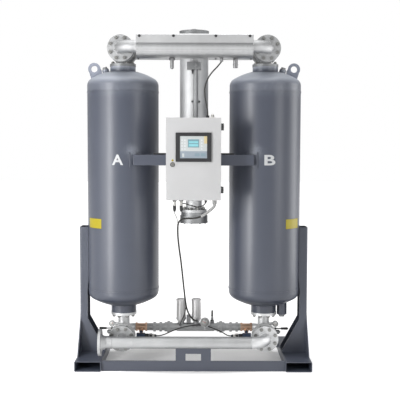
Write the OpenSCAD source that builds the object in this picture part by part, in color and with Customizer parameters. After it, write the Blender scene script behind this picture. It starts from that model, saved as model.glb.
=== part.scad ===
// Twin-tower desiccant air dryer with heated purge, on a fork-pocket base.
// X runs along the front from tower A (left) to tower B (right), Y runs from the
// front to the back and Z runs up. The origin is on the floor, midway between
// the tower axes. Millimetres.

/* [Towers] */
// Outside diameter of each pressure vessel
vessel_od = 550; // [530:2:560]
// Distance between the two vessel axes
tower_pitch = 1100; // [1090:2:1120]
// Height of the lower tangent line of the shell
shell_z = 554; // [550:2:560]
// Length of the straight shell between the tangent lines
shell_len = 1594; // [1500:2:1700]
// Wall of the vessel
vessel_wall = 8; // [6:1:12]
// Crown radius of the dished heads
head_crown = 480; // [470:2:490]
// Knuckle radius of the dished heads
head_knuckle = 62; // [60:1:66]
// Outside diameter of the nozzle forgings
nozzle_od = 196; // [190:1:200]

/* [Piping] */
// Outside diameter of the main pipe
pipe_od = 88.9; // [86:0.1:90]
// Wall of the main pipe
pipe_wall = 4; // [3:0.5:6]
// Outside diameter of the flanges
flange_od = 200; // [196:1:204]
// Thickness of the flanges
flange_t = 20; // [18:1:22]
// Bolt circle of the flanges
bolt_pcd = 160; // [158:1:162]
// Number of bolts in a flange
bolt_count = 8; // [8]
// Bend radius of the long elbows
elbow_r = 114.3; // [110:0.1:118]
// Length of the wafer valves between the front flanges
valve_len = 73; // [68:1:78]
// Height of the lower pipe axis
low_z = 213; // [208:1:218]
// Outside diameter of the exhaust pipe
exhaust_od = 60.3; // [58:0.1:62]
// Radius of the touch guard round the purge header
guard_r = 90; // [86:1:92]

/* [Heater] */
// Outside diameter of the heater column
heater_od = 219.1; // [210:0.1:222]
// Height of the lower flange joint of the heater
heater_z = 1173; // [1168:1:1178]

/* [Cabinet] */
// Width of the control cabinet
cabinet_w = 400; // [396:1:404]
// Height of the control cabinet
cabinet_h = 600; // [596:1:620]
// Depth of the control cabinet with its door
cabinet_d = 155; // [150:1:160]
// Height of the underside of the cabinet
cabinet_z = 1292; // [1288:1:1296]
// Width of the display bezel
bezel_w = 259; // [250:1:262]
// Height of the display bezel
bezel_h = 211; // [206:1:216]

/* [Base] */
// Width of each fork tube
fork_w = 200; // [196:1:204]
// Height of the fork tubes and the cross beams
fork_h = 78; // [74:1:80]
// Wall of the fork tubes
fork_wall = 6; // [5:1:8]
// Front end of the fork tubes, measured from the tower axes
base_front = 363; // [350:1:370]
// Rear end of the fork tubes, measured from the tower axes
base_rear = 455; // [450:1:460]
// Height of the leg channels
leg_top = 1059; // [1000:1:1100]

/* [Hidden] */
$fn = 96;
eps = 0.01;

// Tower geometry
tower_x = tower_pitch / 2;
vessel_r = vessel_od / 2;
top_tangent = shell_z + shell_len;
head_rise = head_crown - sqrt(pow(head_crown - head_knuckle, 2) - pow(vessel_r - head_knuckle, 2));
nozzle_top = top_tangent + head_rise + 26;
nozzle_low = shell_z - head_rise - 46;
weld_inset = 48;
port_reach = 130;
drain_reach = 144;
drain_end = nozzle_low - 20;
eye_reach = 221;
eye_rise = 129;
eye_hole_r = 25;
eye_r = 47;
eye_t = 20;

// Pipe joints: y positions of the faces, in front of and behind the tower axis
pipe_r = pipe_od / 2;
pipe_bore = pipe_od - 2 * pipe_wall;
branch_od = pipe_od - 2;
branch_bore = pipe_bore - 2;
bolt_hole = 18;
bolt_d = 16;
nut_af = 24;
nut_t = 13;
tee_reach = 95;
tee_face = tee_reach + flange_t;
valve_face = tee_face + valve_len;
joint_face = valve_face + flange_t;
header_y = -(joint_face + elbow_r);
top_z = nozzle_top + flange_t + 102;
header_half = tower_x - elbow_r;
wafer_od = 138;

// Outlet header behind the towers
outlet_wafer = 20;
outlet_bend_r = 76.2;
outlet_face = tee_face + outlet_wafer + flange_t;
outlet_y = outlet_face + outlet_bend_r;
outlet_half = tower_x - outlet_bend_r;

// Exhaust line behind the lower tees
reducer_len = 40;
exhaust_bend_r = 76;
exhaust_r = exhaust_od / 2;
exhaust_y = tee_reach + reducer_len + exhaust_bend_r;
exhaust_end = tower_x - exhaust_bend_r;
bronze_len = 94;
manifold_half = exhaust_end - bronze_len;
silencer_x = [-104, 20];
silencer_r = 39;

// Heater column
heater_r = heater_od / 2;
heater_top = top_z + 124;
cone_top = heater_z + 167;
cone_low = heater_z + 89;
neck_d = 125;
tube_x = 14;
tube_d = 33.7;
tube_y = -(heater_r + 30);

// Inlet header
inlet_end = tower_x + 160;
inlet_neck = 98;

// Base
fork_out = tower_x + 340;
fork_in = fork_out - fork_w;
beam_t = 60;
bar_plate = 14;
front_beam_y = -(base_front - 23);
rear_beam_y = base_rear - 15 - beam_t;
leg_out = tower_x + 334;
leg_plate = 8;
leg_half = 75;
leg_bend = 14;
leg_knee_z = 342;
leg_toe_z = fork_h + 20;
leg_toe_x = fork_in + 2;
leg_flange = 68;
leg_relief = 9;
leg_relief_z = 672;
leg_spread = 250;

// Cabinet
cabinet_back = -(vessel_r + 17);
cabinet_front = cabinet_back - cabinet_d;
door_t = 20;
door_gap = 2;
door_back = cabinet_front + door_t;
box_front = door_back + door_gap;
sheet = 3;
bezel_t = 8;
bezel_z = cabinet_z + 281;
screen_w = 196;
screen_h = 160;
hinge_x = cabinet_w / 2 + 11;
hinge_y = cabinet_front + 10;
hinge_z = [cabinet_z + 77, cabinet_z + 533];
hinge_r = 8;
lock_x = -(cabinet_w / 2 - 48);
lock_z = cabinet_z + 261;
gland_y = -360;
bar_z = cabinet_z + 250;
bar_h = 80;
bar_t = 30;
bar_half = tower_x - 104;
pad_t = 8;

// Drain valves and tower gauges on the outer sides of the lower tees
drain_z = low_z + 9;
drain_x = tower_x + 94;
gauge_z = low_z + 75;

// Cable routes: points along each cable, from its gland on
trunk_d = 13;
trunk_route = [
  [155, -360, 1262], [153, -360, 1246], [140, -358, 1230], [114, -356, 1207], [85, -354, 1185],
  [55, -352, 1167], [22, -351, 1157], [-20, -351, 1153], [-62, -352, 1152], [-92, -353, 1143],
  [-110, -353, 1122], [-116, -350, 1090], [-116, -326, 1020], [-108, -300, 930], [-97, -264, 840],
  [-88, -224, 750], [-80, -184, 660], [-72, -140, 570], [-64, -96, 490], [-54, -52, 420],
  [-36, -4, 362], [-12, 48, 318], [12, 96, 290], [24, 132, 280]
];
branch_d = 8;
branch_route = [
  [-62, -66, 426], [-68, -40, 384], [-80, -2, 342], [-95, 44, 302], [-106, 88, 272],
  [-111, 122, 255], [-112, 146, 244], [-112, 160, 238]
];
arch_d = 9;
arch_route = [
  [-300, 128, 158], [-272, 128, 160], [-240, 129, 168], [-196, 132, 187], [-152, 135, 205],
  [-104, 139, 221], [-54, 142, 233], [-2, 144, 241], [44, 144, 243], [94, 142, 237],
  [140, 138, 224], [188, 133, 206], [232, 129, 186], [270, 128, 164], [300, 128, 158]
];
header_cable_d = 10;
header_route = [
  [203, header_y, top_z - 112], [192, header_y - 1, top_z - 126], [168, -325, top_z - 154],
  [136, -329, top_z - 188], [108, -333, top_z - 228], [89, -338, top_z - 272], [80, -344, top_z - 316],
  [82, -350, top_z - 368], [92, -356, top_z - 424], [101, -360, top_z - 470],
  [103, gland_y, cabinet_z + cabinet_h + 18]
];
plug_lead_d = 7;
plug_lead_route = [
  [-140, -360, 1204], [-138, -360, 1188], [-129, -357, 1168], [-121, -354, 1146], [-116, -353, 1118]
];
lead_d = 8;
lead_route = [
  [-82, -352, 1266], [-62, -351, 1262], [-32, -349, 1253], [0, -346, 1243], [28, -343, 1237],
  [56, -340, 1241], [78, -338, 1254], [90, -336, 1270]
];

// Colours of the finishes
paint = [0.36, 0.39, 0.45];
steel = [0.80, 0.80, 0.79];
dark = [0.10, 0.10, 0.11];
light_grey = [0.82, 0.82, 0.81];
bronze = [0.69, 0.47, 0.33];

// Turns a child that points along Z to point to the back
module to_back() { rotate([-90, 0, 0]) children(); }

// Turns a child that points along Z to point to the right
module to_right() { rotate([0, 90, 0]) children(); }

// Places a child at tower A (-1) or tower B (+1), mirrored so that +X points outwards
module at_tower(side) { mirror([side < 0 ? 1 : 0, 0, 0]) translate([tower_x, 0, 0]) children(); }

// Places a child at both towers
module at_towers() {
  at_tower(-1) children();
  at_tower(1) children();
}

// Rectangle with round corners, centred
module round_rect(w, h, r) {
  square([w - 2 * r, h], center = true);
  square([w, h - 2 * r], center = true);
  for (x = [-1, 1], y = [-1, 1]) translate([x * (w / 2 - r), y * (h / 2 - r)]) circle(r = r);
}

// Places a child at each bolt of a flange
module bolt_circle() {
  for (i = [0 : bolt_count - 1]) rotate([0, 0, (i + 0.5) * 360 / bolt_count])
    translate([bolt_pcd / 2, 0, 0]) children();
}

// Drilled flange disc, from z = 0 up
module flange(t = flange_t) {
  difference() {
    cylinder(d = flange_od, h = t);
    translate([0, 0, -1]) bolt_circle() cylinder(d = bolt_hole, h = t + 2, $fn = 32);
  }
}

// Quarter bend of a tube about Z, from +X to +Y
module bend(r, d, bore) {
  rotate_extrude(angle = 90) translate([r, 0]) difference() {
    circle(d = d);
    circle(d = bore);
  }
}

// Hexagon bar from z = 0 up, given across its flats
module hex(af, h) { cylinder(d = af / cos(30), h = h, $fn = 6); }

// Tube swept along a route, with a ring of n sides at each of the points between the route's ends
function tangent(p, i) = let(a = p[max(i - 1, 0)], b = p[min(i + 1, len(p) - 1)]) (b - a) / norm(b - a);
function side_of(t) = let(s = cross(t, [0.1, 1, 0])) s / norm(s);
function ring(p, i, r, n) =
  let(t = tangent(p, i), u = side_of(t), v = cross(t, u))
  [for (k = [0 : n - 1]) p[i] + r * (cos(360 * k / n) * u + sin(360 * k / n) * v)];
module cord(p, d, n) {
  rings = len(p);
  skin = [for (i = [0 : rings - 2], k = [0 : n - 1]) let(j = (k + 1) % n)
    [i * n + k, (i + 1) * n + k, (i + 1) * n + j, i * n + j]];
  start_cap = [[for (k = [0 : n - 1]) k]];
  end_cap = [[for (k = [n - 1 : -1 : 0]) (rings - 1) * n + k]];
  points = [for (i = [0 : rings - 1]) each ring(p, i, d / 2, n)];
  polyhedron(points = points, faces = concat(skin, start_cap, end_cap));
}

// Rectangular hollow section along Y, fork pocket and outer foot in one
module fork_tube(side) {
  color(paint) translate([side * (fork_in + fork_w / 2), base_rear, fork_h / 2]) rotate([90, 0, 0])
    linear_extrude(base_front + base_rear) difference() {
      round_rect(fork_w, fork_h, 9);
      round_rect(fork_w - 2 * fork_wall, fork_h - 2 * fork_wall, 4);
    }
}
module fork_tube_left() { fork_tube(-1); }
module fork_tube_right() { fork_tube(1); }

// Cross beams between the fork tubes: a flat bar in front and a hollow beam behind
module cross_beams() {
  color(paint) {
    translate([-fork_in, front_beam_y, 0]) cube([2 * fork_in, bar_plate, fork_h]);
    translate([-fork_in, rear_beam_y + beam_t / 2, fork_h / 2]) rotate([90, 0, 90])
      linear_extrude(2 * fork_in) difference() {
        round_rect(beam_t, fork_h, 6);
        round_rect(beam_t - 8, fork_h - 8, 3);
      }
  }
}

// Portal of two posts and a crossbar that carries the inlet header in a shallow saddle
module pipe_support() {
  color(paint) difference() {
    translate([0, front_beam_y + bar_plate, 0]) rotate([90, 0, 0]) linear_extrude(bar_plate)
      polygon([[-132, fork_h], [-132, low_z - 40], [132, low_z - 40], [132, fork_h],
        [58, fork_h], [58, low_z - 80], [-58, low_z - 80], [-58, fork_h]]);
    translate([-200, header_y, low_z]) to_right() cylinder(d = pipe_od + 0.4, h = 400);
  }
}

// Open channel leg: a web outside, flanges that reach the vessel, a flared foot
module leg() {
  color(paint) difference() {
    union() {
      translate([0, 0, leg_knee_z]) linear_extrude(leg_top - leg_knee_z) difference() {
        translate([leg_out - 50, 0]) round_rect(100, 2 * leg_half, leg_bend);
        translate([leg_out - 50 - leg_plate, 0])
          round_rect(100, 2 * (leg_half - leg_plate), leg_bend - leg_plate);
        translate([leg_out - 110, -leg_half - 1]) square([110 - leg_flange, 2 * leg_half + 2]);
      }
      translate([leg_out - leg_plate, 0, 0]) rotate([90, 0, 90]) linear_extrude(leg_plate)
        polygon([[-leg_half + leg_bend, leg_knee_z + 60], [leg_half - leg_bend, leg_knee_z + 60],
          [leg_half, leg_knee_z], [leg_spread, fork_h], [-leg_spread, fork_h], [-leg_half, leg_knee_z]]);
      for (y = [-leg_half + leg_plate, leg_half]) translate([0, y, 0]) rotate([90, 0, 0])
        linear_extrude(leg_plate) polygon([[leg_out - leg_plate, fork_h], [leg_toe_x, fork_h],
          [leg_toe_x, leg_toe_z], [leg_out - leg_flange + leg_relief, leg_knee_z],
          [leg_out - leg_plate, leg_knee_z]]);
    }
    translate([leg_out - leg_flange, leg_half + 1, 0]) rotate([90, 0, 0]) linear_extrude(2 * leg_half + 2)
      polygon([[-20, leg_knee_z], [leg_relief, leg_knee_z], [leg_relief, leg_relief_z - 110],
        [0, leg_relief_z], [-20, leg_relief_z]]);
    translate([tower_x, 0, shell_z - 1]) cylinder(r = vessel_r + 1.4, h = leg_top);
  }
}
module leg_left() { mirror([1, 0, 0]) leg(); }
module leg_right() { leg(); }

// Half profile of a dished head above y = 0
module head_profile(r, crown, knuckle) {
  drop = sqrt(pow(crown - knuckle, 2) - pow(r - knuckle, 2));
  edge = crown * (r - knuckle) / (crown - knuckle);
  intersection() {
    translate([0, -drop]) circle(r = crown);
    square([edge, crown]);
  }
  intersection() {
    translate([r - knuckle, 0]) circle(r = knuckle);
    square([r, knuckle]);
  }
}

// Half profile of the vessel, outside or inside by the inset
module vessel_profile(inset) {
  r = vessel_r - inset;
  translate([0, top_tangent]) head_profile(r, head_crown - inset, head_knuckle - inset);
  translate([0, shell_z]) mirror([0, 1]) head_profile(r, head_crown - inset, head_knuckle - inset);
  translate([0, shell_z]) square([r, shell_len]);
}

// Places a child on the head, at a distance from the axis, pointing out of the surface
module on_head(reach, up) {
  drop = head_crown - head_rise;
  z = up ? top_tangent - drop : shell_z + drop;
  translate([0, 0, z]) rotate([0, up ? asin(reach / head_crown) : 180 - asin(reach / head_crown), 0])
    translate([0, 0, head_crown]) children();
}

// Pressure vessel: shell and heads in one, weld beads, nozzle forgings, port bosses, pad for the cabinet bar
module vessel(drain_turn) {
  color(paint) difference() {
    union() {
      rotate_extrude() difference() {
        union() {
          vessel_profile(0);
          for (z = [shell_z + weld_inset / 2, top_tangent - weld_inset])
            translate([vessel_r - 1, z - 6]) square([3.6, 12]);
          translate([0, nozzle_low]) square([nozzle_od / 2, nozzle_top - nozzle_low]);
        }
        vessel_profile(vessel_wall);
        translate([0, nozzle_low - 1]) square([pipe_bore / 2, nozzle_top - nozzle_low + 2]);
      }
      on_head(port_reach, true) translate([0, 0, -5]) cylinder(d = 52, h = 27);
      rotate([0, 0, drain_turn]) drain_boss();
      rotate([0, 0, 245.5]) translate([0, 0, bar_z - 20]) rotate_extrude(angle = 9)
        translate([vessel_r - 1, 0]) square([pad_t + 1, bar_h + 40]);
    }
    on_head(port_reach, true) translate([0, 0, -20]) cylinder(d = 33, h = 60);
    rotate([0, 0, drain_turn]) translate([drain_reach, 0, drain_end - 1])
      cylinder(d = 42, h = shell_z - drain_end);
  }
}

// Upright boss of the drain port, ended within the wall of the lower head
module drain_boss() {
  difference() {
    translate([drain_reach, 0, drain_end]) cylinder(d = 78, h = shell_z - drain_end);
    translate([0, 0, shell_z - head_rise + head_crown]) sphere(r = head_crown - vessel_wall / 2, $fn = 192);
  }
}
module vessel_a() { at_tower(-1) vessel(90); }
module vessel_b() { at_tower(1) vessel(0); }

// Lifting eye: round lug on a tapered plate that stands on the head
module lifting_eye() {
  rise = top_tangent + eye_rise;
  color(paint) difference() {
    union() {
      translate([eye_reach, -eye_t / 2, rise]) to_back() cylinder(r = eye_r, h = eye_t);
      translate([0, eye_t / 2 - 2, 0]) rotate([90, 0, 0]) linear_extrude(eye_t - 4)
        polygon([[eye_reach + 43, rise - 12], [eye_reach + 14, rise - 110], [eye_reach - 60, rise - 90],
          [eye_reach - 58, rise - 14], [eye_reach - 28, rise + 33]]);
    }
    translate([eye_reach, -eye_t, rise]) to_back() cylinder(r = eye_hole_r, h = 2 * eye_t);
    translate([0, 0, top_tangent + head_rise - head_crown]) sphere(r = head_crown + 0.02, $fn = 192);
  }
}
module lifting_eye_a() { at_tower(-1) lifting_eye(); }
module lifting_eye_b() { at_tower(1) lifting_eye(); }

// Screw plug with a hexagon head, from the sealing face at z = 0 up
module plug(d, core) {
  translate([0, 0, -18]) cylinder(d = core, h = 18 + eps);
  cylinder(d = d, h = 7);
  translate([0, 0, 7]) hex(d * 0.66, 13);
}
module drain_plug() { translate([drain_reach, 0, drain_end]) mirror([0, 0, 1]) plug(54, 41.4); }
module port_plugs() {
  color(steel) {
    at_towers() on_head(port_reach, true) translate([0, 0, 22]) plug(46, 32.4);
    at_tower(-1) rotate([0, 0, 90]) drain_plug();
    at_tower(1) drain_plug();
  }
}

// Desiccant fill of each vessel, between its screens
bed_low = shell_z + 20;
bed_top = top_tangent - 138;
module desiccant_beds() {
  color([0.92, 0.91, 0.88]) at_towers() translate([0, 0, bed_low])
    cylinder(r = vessel_r - vessel_wall - 0.4, h = bed_top - bed_low);
}

// Support and hold-down screens: stiff rings with a perforated plate
module bed_screens() {
  color(steel) at_towers() for (z = [bed_low - 8, bed_top]) translate([0, 0, z]) difference() {
    cylinder(r = vessel_r - vessel_wall - 0.2, h = 8);
    for (a = [0 : 30 : 330], r = [70, 140, 210]) rotate([0, 0, a]) translate([r, 0, -1])
      cylinder(d = 24, h = 10, $fn = 24);
  }
}

// Tee with three flanged ends: down to a vessel, to the front and to the back
module top_tee() {
  color(steel) difference() {
    union() {
      translate([0, 0, nozzle_top]) flange();
      translate([0, 0, nozzle_top]) cylinder(d = pipe_od, h = top_z - nozzle_top);
      translate([0, -tee_face, top_z]) to_back() cylinder(d = pipe_od, h = 2 * tee_face);
      translate([0, -tee_face, top_z]) to_back() flange();
      translate([0, tee_reach, top_z]) to_back() flange();
    }
    translate([0, 0, nozzle_top - 1]) cylinder(d = pipe_bore, h = top_z - nozzle_top + 1);
    translate([0, -tee_face - 1, top_z]) to_back() cylinder(d = pipe_bore, h = 2 * tee_face + 2);
  }
}
module top_tee_a() { at_tower(-1) top_tee(); }
module top_tee_b() { at_tower(1) top_tee(); }

// Wafer valve between two flanges, with its closing plate
module wafer_valve(length) {
  difference() {
    cylinder(d = wafer_od, h = length);
    translate([0, 0, -1]) cylinder(d = pipe_bore - 6, h = length + 2);
  }
  translate([0, 0, length / 2 - 4]) cylinder(d = pipe_bore - 6 + 2, h = 8);
}
module check_valves() {
  color([0.55, 0.56, 0.57]) at_towers() translate([0, 0, top_z]) {
    translate([0, -valve_face, 0]) to_back() wafer_valve(valve_len);
    translate([0, tee_face, 0]) to_back() wafer_valve(outlet_wafer);
  }
}
module inlet_valves() {
  color([0.55, 0.56, 0.57]) at_towers() translate([0, -valve_face, low_z]) to_back() wafer_valve(valve_len);
}

// Long elbow with a flange at its tower end, turning to the header in front
module front_elbow() {
  difference() {
    translate([0, -joint_face, 0]) to_back() flange();
    translate([0, -joint_face - 1, 0]) to_back() cylinder(d = pipe_bore, h = flange_t + 2);
  }
  translate([-elbow_r, -joint_face, 0]) rotate([0, 0, -90]) bend(elbow_r, pipe_od, pipe_bore);
}
module purge_elbows() { color(steel) at_towers() translate([0, 0, top_z]) front_elbow(); }
module inlet_elbow() { color(steel) at_tower(1) translate([0, 0, low_z]) front_elbow(); }

// Hot purge header with its branch to the heater column
module purge_header() {
  color(steel) difference() {
    union() {
      translate([-header_half, header_y, top_z]) to_right() cylinder(d = pipe_od, h = 2 * header_half);
      translate([0, header_y, top_z]) to_back() cylinder(d = branch_od, h = -header_y - heater_r + 20);
    }
    translate([-header_half - 1, header_y, top_z]) to_right() cylinder(d = pipe_bore, h = 2 * header_half + 2);
    translate([0, header_y, top_z]) to_back() cylinder(d = branch_bore, h = -header_y);
    cylinder(r = heater_r + 0.05, h = heater_top);
  }
}

// Lower trough of the guard: a half round of sheet about the header axis, with end plates and end bands
guard_half = header_half - 4;
guard_left = guard_half - 14;
guard_len = guard_left + guard_half;
guard_bands = [-guard_left + 24, -guard_left + 42, guard_half - 42, guard_half - 24];
module guard_trough() {
  color(steel) translate([0, header_y, top_z]) difference() {
    union() {
      difference() {
        translate([-guard_left, 0, 0]) to_right() cylinder(r = guard_r, h = guard_len);
        translate([-guard_left + 3, 0, 0]) to_right() cylinder(r = guard_r - 3, h = guard_len - 6);
      }
      for (x = guard_bands) translate([x - 3, 0, 0]) to_right() difference() {
        cylinder(r = guard_r + 1.6, h = 6);
        translate([0, 0, -1]) cylinder(r = guard_r - 1, h = 8);
      }
    }
    translate([-guard_left - 1, 0, 0]) to_right() cylinder(d = pipe_od + 0.4, h = guard_len + 2);
    to_back() cylinder(d = pipe_od + 4, h = 2 * guard_r);
    translate([-guard_left - 1, -2 * guard_r, 0]) cube([guard_len + 2, 4 * guard_r, 2 * guard_r]);
  }
}

// Profile of the cover across the header: a box with two rounded upper corners, open from the axis up to low
cover_h = 78;
cover_edge = 8;
module cover_profile(w, h, low) {
  translate([-w / 2, low]) square([w, h - cover_edge - low]);
  translate([-w / 2 + cover_edge, low]) square([w - 2 * cover_edge, h - low]);
  for (s = [-1, 1]) translate([s * (w / 2 - cover_edge), h - cover_edge]) circle(r = cover_edge);
}

// Folded cover over the header, with end plates that stand on the trough and a shadow gap below its edges
module guard_cover() {
  w = 2 * guard_r + 6;
  color(steel) translate([0, header_y, top_z]) difference() {
    translate([-guard_left, 0, 0]) rotate([90, 0, 90]) difference() {
      union() {
        linear_extrude(guard_len) cover_profile(w, cover_h, 14);
        for (z = [0, guard_len - 3]) translate([-w / 2 + 4, 0, z]) cube([w - 8, 20, 3]);
      }
      translate([0, 0, 3]) linear_extrude(guard_len - 6) cover_profile(w - 6, cover_h - 3, -20);
      translate([0, 0, -1]) cylinder(d = pipe_od + 0.4, h = guard_len + 2);
    }
    to_back() cylinder(d = pipe_od + 4, h = 2 * guard_r);
  }
}

// Screws through the front of the cover, near its upper edge, and under the trough
screw_x = [-393, -146, 159, 405];
foot_x = [-407, 160, 419];
module guard_screw() {
  cylinder(d = 20, h = 3);
  translate([0, 0, 3 - eps]) hex(14, 8);
}
module guard_screws() {
  color(dark) translate([0, header_y, top_z]) {
    for (x = screw_x) translate([x, -guard_r - 3, cover_h - 15]) rotate([90, 0, 0]) guard_screw();
    for (x = foot_x) translate([x, 0, -guard_r - 0.6]) mirror([0, 0, 1]) cylinder(d = 12, h = 7);
  }
}

// Temperature probe with a round end, in a socket under the header guard
module probe(x, length, d) {
  translate([x, header_y, top_z - guard_r]) {
    translate([0, 0, -13]) hex(38, 13 - 0.2);
    translate([0, 0, -length + d / 2]) cylinder(d = d, h = length - d / 2 - 12.8);
    translate([0, 0, -length + d / 2]) sphere(d = d);
  }
}

// Temperature probe with a flat end and a screw ring, in a socket under the header guard
module probe_head(x, length, d) {
  translate([x, header_y, top_z - guard_r]) {
    translate([0, 0, -13]) hex(30, 13 - 0.2);
    translate([0, 0, -length]) cylinder(d = d, h = length - 12.8);
    translate([0, 0, -length + 20]) cylinder(d = d + 4, h = 8);
  }
}
module header_probes() {
  color(steel) {
    probe(-160, 78, 27);
    probe_head(306, 68, 34);
    translate([203, header_y, top_z - guard_r - 22]) cylinder(d = 24, h = 21.8);
  }
}

// Short elbow from the rear flange of a top tee to the outlet header
module outlet_elbows() {
  color(steel) at_towers() translate([0, 0, top_z]) {
    difference() {
      translate([0, outlet_face - flange_t, 0]) to_back() flange();
      translate([0, outlet_face - flange_t - 1, 0]) to_back() cylinder(d = pipe_bore, h = flange_t + 2);
    }
    translate([-outlet_bend_r, outlet_face, 0]) bend(outlet_bend_r, pipe_od, pipe_bore);
  }
}

// Dry air header across the back with its outlet flange in the middle
outlet_reach = 86;
module outlet_header() {
  color(steel) translate([0, outlet_y, top_z]) difference() {
    union() {
      translate([-outlet_half, 0, 0]) to_right() cylinder(d = pipe_od, h = 2 * outlet_half);
      to_back() cylinder(d = branch_od, h = outlet_reach + flange_t);
      translate([0, outlet_reach, 0]) to_back() flange();
    }
    translate([-outlet_half - 1, 0, 0]) to_right() cylinder(d = pipe_bore, h = 2 * outlet_half + 2);
    to_back() cylinder(d = branch_bore, h = outlet_reach + flange_t + 1);
  }
}

// Heater column: clad tube, reducing cone, neck and flange, ports for the header and the purge tube
module heater_column() {
  color(steel) difference() {
    union() {
      translate([0, 0, cone_top]) cylinder(r = heater_r, h = heater_top - cone_top);
      translate([0, 0, cone_low]) cylinder(d1 = neck_d, r2 = heater_r, h = cone_top - cone_low);
      translate([0, 0, heater_z]) cylinder(d = neck_d, h = cone_low - heater_z);
      translate([0, 0, heater_z]) flange();
      translate([0, 0, heater_top - 16]) cylinder(r = heater_r + 3, h = 10);
    }
    translate([0, 0, cone_top]) cylinder(r = heater_r - 5, h = heater_top - cone_top + 1);
    translate([0, 0, cone_low]) cylinder(d1 = neck_d - 8, r2 = heater_r - 5, h = cone_top - cone_low + eps);
    translate([0, 0, heater_z - 1]) cylinder(d = neck_d - 8, h = cone_low - heater_z + 1 + eps);
    translate([0, -heater_od, top_z]) to_back() cylinder(d = pipe_bore, h = heater_od);
    translate([tube_x, -heater_od, cone_top + 80]) to_back() cylinder(d = tube_d - 6, h = heater_od);
  }
}

// Lid of the column: rim and shallow cone with a centre boss
module heater_lid() {
  color(steel) translate([0, 0, heater_top]) {
    cylinder(r = heater_r + 4.5, h = 26);
    translate([0, 0, 26 - eps]) cylinder(r1 = heater_r - 14, r2 = 34, h = 13);
    translate([0, 0, 39 - 2 * eps]) cylinder(r1 = 22, r2 = 16, h = 5);
  }
}

// Heating rods in pairs, on their flange plate
rod_top = top_z - 130;
module heater_elements() {
  color([0.45, 0.42, 0.40]) {
    for (a = [0 : 60 : 300]) rotate([0, 0, a]) translate([34, 0, heater_z])
      cylinder(d = 12, h = rod_top - heater_z);
    for (z = [rod_top - 700, rod_top - 350, rod_top]) translate([0, 0, z]) cylinder(r = 44, h = 4);
    translate([0, 0, heater_z]) cylinder(d = neck_d - 10, h = 12);
  }
}

// Terminal head under the heater: flange, skirt, drum with a rim and its cover screws
module heater_head() {
  low = heater_z - 84;
  color(steel) {
    difference() {
      translate([0, 0, heater_z - flange_t]) flange();
      translate([0, 0, heater_z - flange_t - 1]) cylinder(d = 60, h = flange_t - 6);
    }
    difference() {
      union() {
        translate([0, 0, low]) cylinder(r = heater_r, h = 10);
        translate([0, 0, low + 9]) cylinder(r = heater_r - 2, h = 48);
        translate([0, 0, low + 56]) cylinder(d = flange_od, h = 10);
      }
      translate([0, 0, low + 6]) cylinder(r = heater_r - 6, h = 47);
      translate([0, 0, low + 52]) cylinder(d = flange_od - 8, h = 15);
    }
    for (a = [20 : 40 : 340]) rotate([0, 0, a]) translate([heater_r - 14, 0, low - 6])
      cylinder(d = 12, h = 7);
  }
}

// Purge line down the front of the column, from its nozzle block to the foot of the heater
module purge_tube() {
  block_z = top_z - 154;
  color(steel) difference() {
    union() {
      translate([tube_x, tube_y, cone_top + 120]) cylinder(d = tube_d, h = block_z - cone_top - 120 + eps);
      translate([tube_x, tube_y + 40, cone_top + 120]) rotate([0, 90, 0]) rotate([0, 0, -90]) purge_bend();
      translate([-53, tube_y - 26, block_z]) cube([106, 60, 56]);
      translate([tube_x, tube_y - 26, block_z + 28]) rotate([90, 0, 0]) cylinder(d = 26, h = 18);
      translate([tube_x - 34, tube_y - 4, top_z - 400]) cube([68, 44, 14]);
      translate([tube_x, tube_y, top_z - 400]) cylinder(d = tube_d + 8, h = 14);
    }
    translate([0, 0, cone_low]) cylinder(r = heater_r + 0.1, h = heater_top - cone_low);
  }
}
module purge_bend() { rotate_extrude(angle = 90) translate([40, 0]) circle(d = tube_d); }

// Lower tee: flange to the vessel, flange to the inlet valve, reducer and bend to the exhaust, side tappings
module bottom_tee() {
  nipple_d = 21.3;
  color(steel) {
    difference() {
      union() {
        translate([0, 0, nozzle_low - flange_t]) flange();
        translate([0, 0, low_z]) cylinder(d = pipe_od, h = nozzle_low - low_z);
        translate([0, -tee_face, low_z]) to_back() cylinder(d = pipe_od, h = tee_face + tee_reach);
        translate([0, -tee_face, low_z]) to_back() flange();
        translate([0, tee_reach, low_z]) to_back() cylinder(r1 = pipe_r, r2 = exhaust_r, h = reducer_len);
        translate([0, 0, drain_z]) to_right() cylinder(d = nipple_d, h = 62);
        translate([0, 0, gauge_z]) to_right() cylinder(d = nipple_d, h = 64);
      }
      translate([0, 0, low_z]) cylinder(d = pipe_bore, h = nozzle_low - low_z + 1);
      translate([0, -tee_face - 1, low_z]) to_back() cylinder(d = pipe_bore, h = tee_face + tee_reach + 1);
      translate([0, tee_reach - eps, low_z]) to_back()
        cylinder(d1 = pipe_bore, d2 = exhaust_od - 8, h = reducer_len + 2 * eps);
    }
    translate([-exhaust_bend_r, tee_reach + reducer_len, low_z])
      bend(exhaust_bend_r, exhaust_od, exhaust_od - 8);
  }
}
module bottom_tee_a() { at_tower(-1) bottom_tee(); }
module bottom_tee_b() { at_tower(1) bottom_tee(); }

// Weld-neck flange at the free end of the wet air header
module inlet_flange() {
  color(steel) translate([-inlet_end, header_y, low_z]) to_right() difference() {
    union() {
      flange();
      translate([0, 0, flange_t - eps]) cylinder(d1 = 126, d2 = pipe_od, h = 34);
      cylinder(d = pipe_od, h = inlet_neck);
    }
    translate([0, 0, -1]) cylinder(d = pipe_bore, h = inlet_neck + 2);
  }
}

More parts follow.
